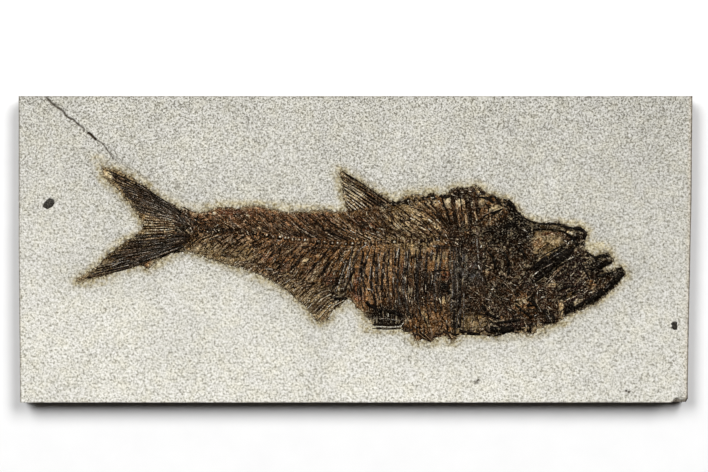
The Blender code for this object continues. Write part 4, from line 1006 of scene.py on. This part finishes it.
rods = []
for i, x in enumerate(np.arange(197.0, 441.0, 2.9)):
    dark = i % 2 == 0
    faint = np.interp(x, [300, 345], [1.0, 0.0])
    if dark:
        tone = chance.uniform(0.0, 0.16) + 0.2 * faint
    else:
        tone = chance.uniform(0.3, 0.64) - 0.12 * faint
    half_widths = (0.95, 0.8, 0.45) if dark else (0.45, 0.5, 0.3)
    line = spine(x, -1, NEURAL_LEAN, NEURAL_REACH, 4.0)
    rods += broken((line, half_widths, 0.00028, tone, chance.uniform(0, 0.4)), 3 if faint > 0.5 else 2)
bars("upper_spines", rods, 5, ridge)
rods = []
for i, x in enumerate(np.arange(199.0, 356.0, 3.9)):
    dark = i % 2 == 0
    tone = chance.uniform(0.0, 0.14) if dark else chance.uniform(0.25, 0.6)
    half_widths = (0.9, 0.85, 0.5) if dark else (0.45, 0.5, 0.3)
    line = spine(x, 1, HAEMAL_LEAN, HAEMAL_REACH, 6.0)
    rods += broken((line, half_widths, 0.00028, tone, chance.uniform(0, 0.4)), 3)
for (x0, y0), (x1, y1), half in [
    ((300, 259), (290, 271), 1.3), ((332, 259.5), (317, 279), 1.6), ((355, 268), (344, 291), 1.5),
    ((346, 262), (337, 284), 1.2), ((285, 259), (276, 270), 1.0), ((318, 262), (307, 275), 1.0),
]:
    rods.append(([(x0, y0), (x1, y1)], (half, half, 0.7 * half), 0.00042, 0.03, 0.5))
bars("lower_spines", rods, 5, ridge)

# RIBS: eighteen pairs of long rods from the backbone down to the belly, those of the far side
# pressed between those of the near side. Rust and tan flesh stain shows between them.
BELLY_REACH = [
    (345, 292), (352, 298), (360, 304), (372, 312), (400, 319), (416, 328), (440, 333), (470, 330),
    (484, 320),
]
RIB_FIRST, RIB_PITCH, RIBS = 354.0, 5.2, 18
RIB_LEAN = [(355, 11), (364, 3), (378, -2), (412, -3), (445, -3)]

# Oval patches of flesh stain that no rib or splinter crosses: column, row, half length, half width
BARE = [
    (438, 263, 10, 8), (434, 320, 5, 8), (547, 245, 15, 9), (460, 204, 4, 5), (447, 203, 3, 5),
    (495, 210, 6, 4),
]


def bare(points):
    """Whether the middle of a line of points lies on a bare patch."""
    x, y = np.mean(np.array(points, float), axis=0)
    return any(math.hypot((x - cx) / long, (y - cy) / wide) < 1 for cx, cy, long, wide in BARE)


rods = []
for i in range(2 * RIBS):
    near_side = i % 2 == 0
    x = RIB_FIRST + RIB_PITCH * i / 2 + chance.uniform(-1.3, 1.3)
    foot_x = x - np.interp(x, *zip(*RIB_LEAN)) + chance.uniform(-2.5, 2.5)
    bow = chance.uniform(2.5, 5.5) if near_side else chance.uniform(-1.0, 5.0)
    start = np.array([x, backbone_row(x) + 5.5])
    foot = np.array([foot_x, np.interp(foot_x, *zip(*BELLY_REACH))])
    curve = smooth_line([start, (start + foot) / 2 - (bow, 0), foot], 4)
    line = spread(curve, np.linspace(chance.uniform(0, 0.08), chance.uniform(0.72, 1), 9))
    if near_side:
        tone, cold = chance.uniform(-0.02, 0.26), chance.uniform(0.6, 1.4)
        rods += broken((line, (0.9, 1.45, 1.3, 0.7), 0.00042, tone, cold), 4, 0.8)
        for _ in range(3):
            first = chance.uniform(0, 0.75)
            glint = spread(line, np.linspace(first, first + chance.uniform(0.06, 0.2), 5))
            glint = glint + (chance.uniform(-1.6, 1.6), 0)
            tone, cold = chance.uniform(0.35, 0.75), chance.uniform(0.1, 0.9)
            rods.append((glint, (0.3, 0.5, 0.45, 0.3), 0.00046, tone, cold))
    else:
        tone, cold = chance.uniform(0.1, 0.5), chance.uniform(0, 0.6)
        rods += broken((line, (0.35, 0.6, 0.5, 0.3), 0.00034, tone, cold), 3, 0.6)
for x0, y0, x1, y1, tone in [
    (399, 248, 394.5, 262, 0.9), (352, 246, 348.5, 280, 0.6), (351, 256, 344, 290, 0.65),
    (346, 262, 336, 292, 0.7), (366, 245, 356, 252, 0.7), (371, 262, 369, 284, 0.6),
    (378, 254, 379, 270, 0.55), (340, 258, 347, 266, 0.5),
]:
    rods.append(([(x0, y0), (x1, y1)], (0.35, 0.5, 0.35), 0.00055, tone, 0.8))
rods = [rod for rod in rods if not bare(rod[0])]
bars("ribs", rods, 6, ridge)

# FIN RAYS: jointed rods of the back fin, the long anal fin, the small belly fin and the forked
# tail. They fan from the body, split in two towards their tips and are pressed close together.
DORSAL_BASE = [(392, 204.5), (382, 206), (372, 208), (360, 210), (350, 211.5)]
DORSAL_TIPS = [(341, 171), (341.5, 180), (343.5, 190), (346, 200), (347, 207)]
ANAL_ROOTS = [(355, 262), (340, 266), (325, 264), (310, 262), (296, 261), (280, 259), (262, 255)]
ANAL_BASE = [
    (348, 297.5), (333, 291), (320, 286), (308, 281), (295, 276), (282, 271), (269, 266.5), (246, 261),
]
ANAL_TIPS = [
    (321, 321), (309, 311), (297, 299.5), (286, 291), (275, 284), (263, 277), (251, 272), (230, 266),
]
UPPER_LOBE_HUB, LOWER_LOBE_HUB = (197, 224), (203, 238)
UPPER_LOBE_TIPS = [(103, 168), (107, 173.5), (114, 182), (123, 193), (131, 203), (138, 212)]
LOWER_LOBE_TIPS = [(138, 234.5), (125, 244), (113, 253), (103, 261.5), (93, 270), (79, 280.5)]


def fan(roots, tips, count, half_width, rise, tones, colds, first=0.0, split=True, bend=(0.0, 0.0)):
    """Fin rays between two lines, each in two branches, with tones from the first ray to the last."""
    rays = []
    step = 1 / (count - 1)
    for i in range(count):
        share = np.clip(i * step + chance.uniform(-0.15, 0.15) * step, 0, 1)
        root, tip = spread(roots, [share])[0], spread(tips, [share])[0]
        root = root + (tip - root) * (first + chance.uniform(0, 0.05))
        fork = root + (tip - root) * chance.uniform(0.42, 0.55) - (0, np.interp(share, [0, 1], bend))
        tone = np.interp(share, [0, 1], tones) + chance.uniform(-0.08, 0.08)
        cold = chance.uniform(*colds)
        if not split:
            ray = ([root, fork, tip], (half_width, half_width, 0.55 * half_width), rise, tone, cold)
            rays += broken(ray, 3, 0.2)
            continue
        ray = ([root, fork], (0.9 * half_width, half_width, 0.8 * half_width), rise, tone, cold)
        rays += broken(ray, 2, 0.2)
        for side in (-0.24, 0.24):
            end = spread(tips, [np.clip(share + side * step, 0, 1)])[0]
            end = fork + (end - fork) * chance.uniform(0.88, 1.0)
            branch = (0.62 * half_width, 0.6 * half_width, 0.4 * half_width)
            rays += broken(([fork, end], branch, 0.8 * rise, tone + 0.05, cold), 2, 0.25)
    return rays


inner = np.linspace(0.05, 0.95, 9)
rays = fan(DORSAL_BASE, DORSAL_TIPS, 11, 1.0, 0.00040, (-0.1, 0.08), (0.2, 0.7), bend=(1.5, 0.0))
rays += fan(
    spread(DORSAL_BASE, inner), spread(DORSAL_TIPS, inner), 10, 0.5, 0.0004, (0.45, 0.95), (0.0, 0.4),
    0.05, False,
)
rays += fan(ANAL_BASE, ANAL_TIPS, 34, 0.75, 0.00032, (0.02, 0.2), (0.0, 0.4), bend=(3.5, 2.0))
rays += fan(ANAL_BASE, ANAL_TIPS, 30, 0.45, 0.0004, (0.75, 0.6), (0.1, 0.6), 0.08, False, (3.5, 2.0))
rays += fan(ANAL_ROOTS, ANAL_BASE, 26, 0.7, 0.0003, (0.1, 0.4), (0.0, 0.5), 0.45, False)
for y0, y1, tone in [(326.4, 326.6, 0.9), (318.2, 321.0, 0.5)]:
    line = [(374.5, y0), (390, y0 + 0.8), (400.5, y1), (404, y1 - 4.5)]
    rays.append((line, (0.45, 0.6, 0.6, 0.4), 0.0007, tone, 0.9))
rays.append(([(374, 324), (388, 324.4), (400, 324.5)], (0.9, 1.2, 0.8), 0.0005, 0.0, 0.5))
rays.append(([(372, 328.3), (388, 329), (401, 328.6)], (0.5, 0.8, 0.5), 0.0004, 0.0, 0.5))
bars("body_fin_rays", rays, 5, ridge)

rays = []
for hub, tips, tones, bend in (
    (UPPER_LOBE_HUB, UPPER_LOBE_TIPS, (0.0, 0.2), (4.0, 0.0)),
    (LOWER_LOBE_HUB, LOWER_LOBE_TIPS, (0.1, -0.05), (0.0, -3.5)),
):
    hubs = [np.array(hub) + (0, 1.2 * (i - 3)) for i in range(7)]
    rays += fan(hubs, tips, 13, 1.0, 0.00042, tones, (0.4, 1.1), 0.16, bend=bend)
    rays += fan(
        spread(hubs, inner), spread(tips, inner), 12, 0.4, 0.00042, (0.46, 0.46), (0.4, 1.1), 0.2, False,
        bend,
    )
for i in range(20):
    y, dark = 213.5 + 1.27 * i, i % 2 == 0
    drift = np.interp(y, [213, 226, 238], [-2.5, 0, 2.0])
    line = [
        (175, 226 + (y - 226) * 0.62), (166, y - 0.5 * drift), (157, y + chance.uniform(-0.5, 0.5)),
        (149, y + 0.4 * drift), (143 + abs(y - 226) / 6, y + drift),
    ]
    half_widths, tone = ((0.6, 0.8, 0.7, 0.4), 0.05) if dark else ((0.4, 0.6, 0.5), 0.68)
    rays += broken((line, half_widths, 0.0004, tone, 0.1), 3, 0.3)
for i in range(5):
    y = 210.5 + 5.2 * i
    line = [(181 + 2.2 * i, y - 4), (187 + 1.4 * i, y), (186 + i, y + 4)]
    rays += broken((line, (0.35, 0.55, 0.3), 0.0005, 0.62, 0.5), 2)
    rays += broken((np.array(line) + (2.2, 0), (0.6, 0.9, 0.5), 0.0004, 0.04, 0.4), 2)
for line in ([(174, 223.5), (180, 225), (187, 229)], [(172, 232), (181, 235), (190, 236)]):
    rays += broken((line, (1.2, 2.2, 1.6), 0.0005, 0.06, 0.3), 3)
bars("tail_rays", rays, 5, ridge)

# SCUTES AND SHOULDER: a saw-edge of small keeled shields along the hump and the belly, the curved
# collar bone behind the gill cover and the fan of broad rods in the hump. All are bone of the fish.
BACK_SCUTES = [
    (397, 203.5), (403, 201.5), (409, 199.5), (417.5, 199), (426, 198.8), (434, 197.5), (442, 197.2),
    (450, 196.6), (457, 192.2), (465, 192.5), (473, 191.8), (481, 194), (489, 198.8), (497, 203),
    (505, 203.8),
]
BELLY_SCUTES = [
    (409, 330), (416.5, 334.5), (424, 335.5), (431.5, 337), (439, 334), (447, 332.5), (455, 334.5),
    (463, 332.2), (471, 330.8), (480, 331), (489, 331.6),
]
# Broad dark rods of the hump, and the pale gaps beside them: points, half width, how pale
HUMP_RODS = [
    ([(411, 207), (423, 211), (430, 216), (438, 222)], 0.9, 0.05),
    ([(414, 213.5), (425, 221), (432, 228)], 0.7, 0.08),
    ([(424, 203), (432, 212), (440, 219), (447, 228)], 1.1, 0.06),
    ([(430, 203), (437, 211), (444, 220), (450, 228)], 1.4, 0.1),
    ([(442, 198), (444, 205), (447.5, 213), (451, 226)], 1.8, 0.0),
    ([(452.6, 196), (453.4, 207), (454.5, 215), (456.5, 225)], 1.9, 0.0),
    ([(460.5, 197), (461.5, 209), (463.4, 222)], 1.5, 0.08),
    ([(469, 199), (469.8, 211), (471.5, 224)], 1.8, 0.02),
    ([(475, 198), (477, 206), (478.5, 214)], 2.0, 0.0), ([(395, 206), (404, 211.5), (411, 218)], 0.7, 0.08),
    ([(463.5, 200), (465.4, 214), (467, 229.5)], 1.5, 0.6),
    ([(472.8, 200), (474.4, 211), (477, 221)], 1.2, 0.56),
    ([(456.5, 200), (457.5, 212), (460, 228)], 1.3, 0.62), ([(428, 206), (435, 213), (442, 221)], 0.5, 0.62),
    ([(439, 201), (442.5, 209), (446, 218)], 1.0, 0.6), ([(409, 206), (416, 208), (423, 210)], 0.4, 0.6),
    ([(432, 214), (437, 219.5), (441, 224)], 0.5, 0.6), ([(417, 212), (428, 219), (437, 227)], 0.8, 0.66),
]
COLLAR = [(477, 229), (478, 250), (480.5, 270), (483, 288), (488, 303), (497, 313)]

rods = []
for x, y in BACK_SCUTES:
    for _ in range(3):
        cx, cy = x + chance.uniform(-3, 3), y + chance.uniform(-2.2, 1.6)
        slope, reach = chance.uniform(-0.8, 0.8), chance.uniform(1.4, 3.0)
        line = [(cx - reach, cy - slope * reach), (cx + reach, cy + slope * reach)]
        half_widths = (0.6, chance.uniform(0.9, 1.7), 0.6)
        rods.append((line, half_widths, 0.0005, chance.uniform(0.0, 0.1), 0.6))
    cx, cy = x + chance.uniform(-3, 3), y + chance.uniform(-2.5, 2)
    line = [(cx - 1.8, cy), (cx + 1.6, cy - chance.uniform(-1, 1))]
    rods.append((line, (0.3, 0.6, 0.3), 0.0006, chance.uniform(0.5, 0.85), 0.5))
for x, y in BELLY_SCUTES:
    line = [(x - 4, y - 1), (x, y + 0.4), (x + 4, y - 0.6)]
    rods.append((line, (0.9, 1.5, 0.8), 0.0005, chance.uniform(0, 0.2), 0.5))
    line = [(x - 1, y - 9), (x + 0.4, y - 4), (x - 0.4, y + 1.4)]
    rods.append((line, (0.4, 0.8, 0.6), 0.0005, chance.uniform(0.02, 0.5), 0.4))
for x0, y0, x1, y1 in [
    (413, 332, 416.5, 340), (417, 333, 424, 339.5), (422, 333, 430.5, 341.5), (447, 333, 452, 340),
]:
    rods.append(([(x0, y0), (x1, y1)], (0.9, 0.9, 0.4), 0.0005, 0.1, 0.3))
    rods.append(([(x0 + 1.6, y0), (x1 + 1.4, y1 - 0.6)], (0.4, 0.5, 0.3), 0.0005, 0.65, 0.1))
for line, wide, tone in HUMP_RODS:
    rods += broken((smooth_line(line, 3), (0.8 * wide, wide, 0.7 * wide), 0.00045, tone, 0.1), 2, 0.3)
collar = smooth_line(COLLAR, 4)
rods += broken((collar, (1.4, 1.9, 2.0, 1.8, 1.4), 0.0005, 0.08, 0.6), 5, 0.5)
rods += broken((collar[:8] + (-0.6, 0), (0.6, 0.9, 0.8, 0.4), 0.0007, 0.60, 1.0), 4)
rods += broken((collar[6:14] + (0.8, 0), (0.4, 0.6, 0.4), 0.0007, 0.50, 0.9), 3)
for x0, x1, wide, tone in [
    (450.6, 452, 0.6, 0.4), (453.5, 454.5, 1.6, 0.1), (456.6, 457.6, 0.5, 0.45),
    (459.4, 460.4, 1.5, 0.08), (463, 463.6, 0.5, 0.35),
]:
    line = [(x0, 247), (x1, 288), (x0 + 0.5, 330)]
    rods += broken((line, (0.7 * wide, wide, 0.7 * wide), 0.00045, tone, 1.4), 5, 0.6)
for x0, y0, x1, y1 in [(404, 213, 430, 230), (410, 222, 434, 234), (398, 215, 418, 229)]:
    line = smooth_line([(x0, y0), ((x0 + x1) / 2 + 1, (y0 + y1) / 2 - 1.5), (x1, y1)], 3)
    rods += broken((line, (0.5, 0.9, 0.5), 0.0004, 0.06, 0.3), 3)
    rods += broken((line + (0, 2.1), (0.4, 0.8, 0.4), 0.0004, 0.62, 0.1), 3)
bars("scutes_and_shoulder", rods, 6, ridge)

# SKULL: flattened roof, gill cover, gill rays, jaws and the bar below the eye, black and glossy where whole,
# with pale splinters of split bone and pale lines painted along the dark bones as highlights. Loose splinters
# of bone lie all over head and belly.
# Dark bones: the points of each, and its half widths
DARK_BONES = [
    ([(503, 199), (511, 206), (518, 214), (527, 220.5), (537, 223.5)], (0.8, 2.0, 1.6, 1.0)),
    ([(508, 200), (511.5, 205), (515, 211)], (1.6, 2.6, 1.4)),
    ([(539, 224.5), (550, 224), (562, 225)], (1.0, 1.6, 1.0)),
    ([(534, 229.5), (548, 229.5), (562, 231)], (0.6, 1.0, 0.6)),
    ([(562, 226.5), (572, 229), (580, 228.6), (584.6, 233), (583.5, 240)], (1.2, 1.8, 2.6, 2.8, 1.6)),
    ([(566, 233), (572, 238), (577, 247)], (1.4, 2.6, 2.2)),
    ([(563, 248), (552, 255.5), (541, 263), (530, 270)], (2.0, 3.4, 3.2, 1.6)),
    ([(568, 250), (557, 258), (545, 266), (533, 277)], (2.6, 4.0, 4.0, 2.4)),
    ([(573, 247), (566, 256), (552, 266), (540, 277), (531, 283)], (2.2, 3.2, 2.8, 2.2, 1.0)),
    ([(536, 252), (541, 248), (549, 243)], (0.5, 0.9, 0.4)),
    ([(541, 257), (552, 250.5), (561, 246)], (0.5, 0.9, 0.5)),
    ([(586, 252), (592, 257), (597, 262), (603, 268)], (1.2, 2.2, 2.2, 1.2)),
    ([(595, 259), (603, 256.5), (609, 257)], (2.0, 3.6, 2.8)),
    ([(597, 267.5), (604, 264.5), (612, 261.5)], (2.0, 3.2, 2.4)),
    ([(623.5, 272), (617, 278), (609, 286)], (2.0, 3.2, 3.0)),
    ([(611, 284), (602, 292), (592, 299)], (2.6, 3.2, 2.6)),
    ([(594, 297), (582, 304), (570, 309.5)], (2.4, 3.0, 2.6)),
    ([(574, 303), (569, 308), (566, 314)], (1.6, 2.6, 1.4)),
    ([(612, 272), (604, 275), (596, 276)], (1.2, 1.8, 1.2)),
    ([(603, 271), (595, 269.5), (586, 268)], (1.0, 1.6, 1.0)),
    ([(545, 309), (547, 316), (549, 323)], (1.6, 3.0, 3.4)),
    ([(550, 312), (553, 317), (554, 323)], (1.0, 1.8, 1.2)),
    ([(489, 328), (500, 329), (514, 328.5)], (2.0, 3.4, 2.2)),
    ([(497, 323), (508, 322), (520, 320)], (1.6, 2.8, 2.2)),
    ([(515, 304), (523, 311), (532, 318.5)], (1.0, 1.8, 1.2)),
    ([(527, 306), (533, 303), (537, 307)], (1.6, 2.8, 1.6)),
    ([(504, 228), (509, 225), (516, 224.5)], (1.6, 3.0, 2.2)),
    ([(480, 222), (486, 215), (496, 211), (503, 208)], (0.8, 1.6, 1.6, 0.8)),
    ([(487, 217), (496, 213), (503, 209)], (0.5, 0.9, 0.5)),
    ([(520, 238), (527, 233), (534, 231)], (1.0, 1.8, 1.0)),
    ([(512, 246), (520, 249), (526, 258)], (1.0, 1.6, 1.0)),
    ([(487, 250), (493, 258), (495, 270)], (1.0, 2.0, 1.2)),
    ([(504, 252), (509, 264), (507, 278)], (1.2, 2.4, 1.4)),
    ([(556, 291), (566, 287), (577, 286)], (1.0, 1.6, 1.0)),
    ([(559, 299), (567, 295), (577, 291)], (0.8, 1.4, 0.8)),
    ([(580, 262), (586, 272), (590, 280)], (1.0, 1.8, 1.0)),
    ([(482, 305), (488, 314), (498, 318)], (1.2, 2.0, 1.2)),
    ([(532, 322), (530, 327), (531, 333)], (0.8, 1.2, 0.8)),
    ([(459, 330), (468, 333), (480, 333.5)], (0.8, 1.6, 1.0)),
    ([(478, 197), (487, 198), (494, 203)], (1.0, 1.8, 1.2)),
    ([(494, 196.5), (498, 201), (502, 206)], (1.0, 1.8, 1.0)),
    ([(441, 284), (446, 287), (450, 294)], (1.6, 3.0, 1.8)),
    ([(432, 272), (440, 270.4), (448, 271)], (0.7, 1.1, 0.7)),
    ([(366, 301), (372, 307), (382, 312)], (1.6, 2.6, 1.8)),
    ([(384, 310), (394, 312), (404, 316)], (1.6, 2.8, 2.0)),
    ([(330, 296), (340, 299), (347, 297)], (1.0, 2.0, 1.2)),
]
# Pale splinters, some of them painted highlights along dark bones: from, to, half width, how pale, how cold
SPLINTERS = [
    (531, 277, 541, 269, 0.6, 0.72, 0.8), (541, 269, 552, 263.5, 0.5, 0.6, 0.8),
    (545, 285, 562, 267, 0.5, 0.66, 0.4), (548, 280, 556, 270, 0.4, 0.8, 0.2),
    (559, 268, 566, 265, 0.4, 0.7, 0.3), (567, 260, 573, 257, 0.9, 0.8, 0.9),
    (548, 260, 562, 251, 0.4, 0.4, 0.8), (552, 257, 558, 253, 0.4, 0.5, 0.8),
    (552, 233, 560, 240, 0.5, 0.72, 0.2), (546, 313, 552, 322, 0.5, 0.72, 1.0),
    (600, 262, 606, 259, 0.5, 0.62, 1.0), (596, 266, 600, 263, 0.4, 0.5, 1.0),
    (589, 256, 594, 262, 0.4, 0.6, 0.7), (606, 257, 610, 260, 0.4, 0.55, 1.0),
    (614, 276, 619, 272, 0.5, 0.45, 0.7), (604, 290, 611, 283, 0.5, 0.42, 0.7),
    (590, 297, 598, 291, 0.5, 0.45, 0.7), (574, 306, 584, 300, 0.5, 0.4, 0.9),
    (578, 243, 584, 240, 0.6, 0.7, 0.6), (579, 248, 583, 246, 0.7, 0.75, 0.4),
    (577, 252, 582, 255, 0.5, 0.6, 0.7), (474, 291, 484, 298, 0.45, 0.75, 0.5),
    (484, 298, 492, 301, 0.45, 0.75, 0.5), (477, 288, 480, 295, 0.4, 0.65, 0.5),
    (487, 287, 501, 300, 0.4, 0.66, 0.5), (501, 280, 512, 291, 0.4, 0.6, 0.4),
    (508, 282, 516, 299, 0.4, 0.62, 0.4), (499, 278, 506, 285, 0.4, 0.55, 0.4),
    (519, 303, 530, 296, 0.6, 0.76, 0.2), (530, 297, 533, 291, 0.4, 0.6, 0.2),
    (512, 291, 514, 300, 0.5, 0.6, 0.0), (505, 305, 514, 309, 0.4, 0.55, 0.3),
    (541, 303, 543, 309, 0.4, 0.7, 0.4), (558, 300, 560, 312, 0.6, 0.6, 0.1),
    (524, 322, 531, 331, 0.5, 0.66, 0.1), (521, 328, 528, 327, 0.6, 0.75, 0.1),
    (512, 331, 520, 331.5, 0.5, 0.6, 0.1), (489, 318, 494, 322, 0.5, 0.6, 0.1),
    (480, 335, 490, 334.6, 0.5, 0.4, 0.3), (514, 206, 520, 215, 0.45, 0.66, 0.6),
    (517, 204, 523, 213, 0.35, 0.5, 0.6), (520, 214, 527, 219, 0.4, 0.45, 0.5),
    (568, 232, 572, 234, 0.8, 0.85, 0.3), (563, 233, 566, 236, 0.5, 0.6, 0.4),
    (504, 231, 514, 230.5, 0.4, 0.42, 0.7), (482, 216, 500, 207, 0.4, 0.5, 0.2),
    (483, 250, 490, 256, 0.5, 0.5, 0.2), (488, 247, 495, 252, 0.5, 0.52, 0.1),
    (531, 247, 535, 240, 0.5, 0.7, 0.0), (524, 245, 531, 250, 0.6, 0.6, 0.1),
    (585, 285, 592, 290, 0.5, 0.5, 0.3), (566, 295, 572, 292, 0.5, 0.75, 0.2),
    (570, 299, 577, 295, 0.5, 0.65, 0.2), (562, 303, 570, 298, 0.5, 0.55, 0.3),
    (543, 300, 549, 293, 0.4, 0.5, 0.2), (536, 290, 540, 284, 0.5, 0.5, 0.1),
    (478, 265, 481, 271, 0.8, 0.85, 0.8), (214, 229, 217, 233, 0.5, 0.7, 0.8),
    (240, 236, 244, 235, 0.7, 0.7, 0.2), (247, 231, 249, 235, 0.6, 0.7, 0.3),
    (246, 215.4, 248, 215.6, 0.9, 0.95, 0.3), (213, 212.5, 215.5, 214, 0.7, 0.9, 0.2),
    (270, 233, 273, 237, 0.5, 0.6, 0.5), (276, 240, 281, 241, 0.6, 0.7, 1.0),
    (303, 228, 306, 230, 0.5, 0.7, 0.4), (451, 318, 452.5, 322, 0.7, 0.8, 0.5),
    (422, 297, 424, 301, 0.8, 0.85, 0.3), (439, 298, 441, 304, 0.6, 0.8, 0.1),
    (366, 288, 373, 291, 0.6, 0.75, 0.6), (445, 234, 448, 239, 0.6, 0.75, 0.3),
    (455, 242, 458, 245, 0.9, 0.8, 0.3), (436, 240, 441, 241, 0.6, 0.8, 0.5),
    (418, 242, 420, 243, 0.8, 0.8, 0.6), (406, 216, 411, 219, 0.4, 0.5, 0.3),
    (327, 211, 332, 209.5, 0.9, 0.62, 0.9), (176, 214, 183, 223, 0.45, 0.7, 0.7),
    (181, 213, 187, 223, 0.4, 0.6, 0.6), (188, 219, 193, 219, 0.6, 0.55, 0.6),
    (191, 222, 195, 231, 0.45, 0.5, 0.2), (168, 210, 178, 217, 0.45, 0.55, 0.9),
    (158, 203, 170, 212, 0.45, 0.55, 0.9), (165, 201, 176, 208, 0.4, 0.5, 0.7),
    (112, 263, 128, 256, 0.45, 0.6, 1.0), (108, 268, 122, 262, 0.45, 0.6, 1.0),
    (120, 266, 140, 259, 0.4, 0.45, 1.0), (138, 254, 152, 247, 0.4, 0.5, 1.0),
    (148, 246, 160, 240, 0.4, 0.5, 0.9), (152, 255, 166, 249, 0.4, 0.45, 0.9),
    (168, 244, 180, 240, 0.5, 0.5, 0.8), (165, 249, 178, 246, 0.4, 0.45, 0.7),
]
# Scattered bone: box, how many, angle and its spread, shortest and longest, darkest and palest, cold
SCATTERED = [
    ((485, 205, 530, 245), 80, 30, 70, 2, 7, -0.1, 0.75, 0.7),
    ((484, 243, 528, 285), 90, 20, 80, 2, 6, -0.1, 0.68, 0.3),
    ((480, 283, 540, 316), 110, 40, 60, 3, 9, -0.1, 0.8, 0.5),
    ((530, 262, 600, 302), 120, -35, 60, 2, 7, -0.1, 0.76, 0.4),
    ((485, 314, 545, 333), 80, 20, 60, 2, 7, 0.0, 0.7, 0.4),
    ((452, 232, 486, 330), 190, 60, 90, 2, 7, 0.0, 0.72, 0.6),
    ((418, 228, 452, 262), 80, 20, 80, 2, 6, 0.0, 0.78, 0.4),
    ((412, 272, 452, 334), 130, 70, 60, 3, 9, 0.0, 0.75, 0.4),
    ((350, 246, 416, 320), 170, 82, 22, 4, 12, 0.0, 0.7, 0.6),
    ((345, 214, 440, 238), 170, 38, 45, 3, 9, 0.0, 0.72, 0.3),
    ((260, 212, 345, 238), 190, 42, 30, 2, 7, 0.0, 0.56, 0.3),
    ((195, 214, 262, 246), 150, 25, 60, 2, 7, 0.0, 0.62, 0.4),
    ((255, 244, 350, 288), 200, -45, 35, 3, 9, 0.0, 0.66, 0.4),
    ((200, 240, 262, 264), 80, -20, 50, 3, 8, 0.12, 0.6, 0.2),
    ((395, 192, 482, 206), 80, 40, 70, 2, 5, 0.0, 0.75, 0.7),
    ((564, 228, 587, 256), 50, 30, 90, 2, 5, 0.0, 0.8, 0.6),
    ((585, 254, 615, 296), 70, -35, 60, 2, 6, 0.0, 0.6, 0.6),
    ((534, 300, 566, 322), 45, 70, 50, 2, 6, 0.0, 0.7, 0.4),
    ((172, 212, 200, 248), 60, 60, 50, 3, 8, 0.0, 0.7, 0.6),
    ((104, 168, 150, 200), 60, 32, 14, 4, 10, 0.05, 0.6, 0.3),
    ((268, 270, 345, 312), 90, -12, 25, 3, 8, 0.0, 0.8, 0.5),
]

rods = []
for points, half_widths in DARK_BONES:
    rods += broken((smooth_line(points, 3), half_widths, 0.00055, -0.25, 0.8), 2, 0.5)
for x0, y0, x1, y1, half_width, pale, cold in SPLINTERS:
    rods.append(([(x0, y0), (x1, y1)], (0.5 * half_width, half_width, 0.5 * half_width), 0.00060, pale, cold))
bars("skull_bones", rods, 7, ridge)

rods = []
for (x0, y0, x1, y1), count, angle, spread_of, shortest, longest, darkest, palest, cold in SCATTERED:
    x, y = chance.uniform(x0, x1, count), chance.uniform(y0, y1, count)
    deep = depth_inside(x, y, fish_edge)
    for points, half_widths in DARK_BONES:
        deep[nearest(x, y, smooth_line(points, 3))[0] < 0.7 * max(half_widths)] = 0.0
    for cx, cy, inside in zip(x, y, deep):
        turn = math.radians(angle + chance.uniform(-spread_of, spread_of))
        length = chance.uniform(shortest, longest)
        pale = chance.uniform(0, 1) < 0.2
        if pale:
            tone = palest * chance.uniform(0.75, 1.2)
        else:
            tone = chance.uniform(darkest - 0.1, 0.34 + darkest)
        half_width = chance.uniform(0.35, 0.6) + 0.35 * (tone < 0.2)
        if inside > 1.5 + length / 3 and not bare([(cx, cy)]):
            dx, dy = math.cos(turn) * length / 2, math.sin(turn) * length / 2
            bend = chance.uniform(-0.12, 0.12) * length
            knee = (cx - dy * bend / length, cy + dx * bend / length)
            line = [(cx - dx, cy - dy), knee, (cx + dx, cy + dy)]
            half_widths = (0.5 * half_width, half_width, 0.5 * half_width)
            rods.append((line, half_widths, 0.00036, tone, cold * chance.uniform(0.3, 1.3)))
bars("bone_splinters", rods, 4, ridge)

# FLAKES: two small grey-black scraps of fossil, near the slab's left and right edges. They are
# loose in the same rock and set in shallow hollows.
FLAKE_STEP, FLAKE_PROUD, FLAKE_FLOOR = 0.25, 0.00042, 0.0001
flake_tone, tree, shader = new_finish("dark_flake")
flecks = grain(tree, 900.0, 3.0, 0.65)
colour = tints(
    tree, flecks, (0.34, (14, 12, 8)), (0.52, (44, 41, 34)), (0.64, (78, 74, 64)), (0.72, (130, 126, 112)),
)
dress(tree, shader, colour, ramp(tree, flecks, (0.3, 0.35), (0.7, 0.6)), 0.2, flecks, 0.6, 0.0004)
for name, node, outline, seed in [
    ("left_flake", "dark_fragment_left", LEFT_FLAKE, 61),
    ("right_flake", "dark_fragment_right", RIGHT_FLAKE, 62),
]:
    outline = np.array(outline)
    shape = plaque(outline, FLAKE_STEP)
    column, row, level = place(shape)
    depth = np.maximum(depth_inside(column, row, outline), 0)
    top = FLAKE_PROUD * between(-0.6, 1.3, depth) + 0.00010 * rough(column, row, 1.3, seed)
    height = np.where(level < 0, FACE + FILM_FOOT, FACE + FLAKE_FLOOR + top)
    lay(shape, column, row, height)
    flake = show(name, closed_mesh(shape, name), flake_tone)
    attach(flake, "root")
    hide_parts(node)
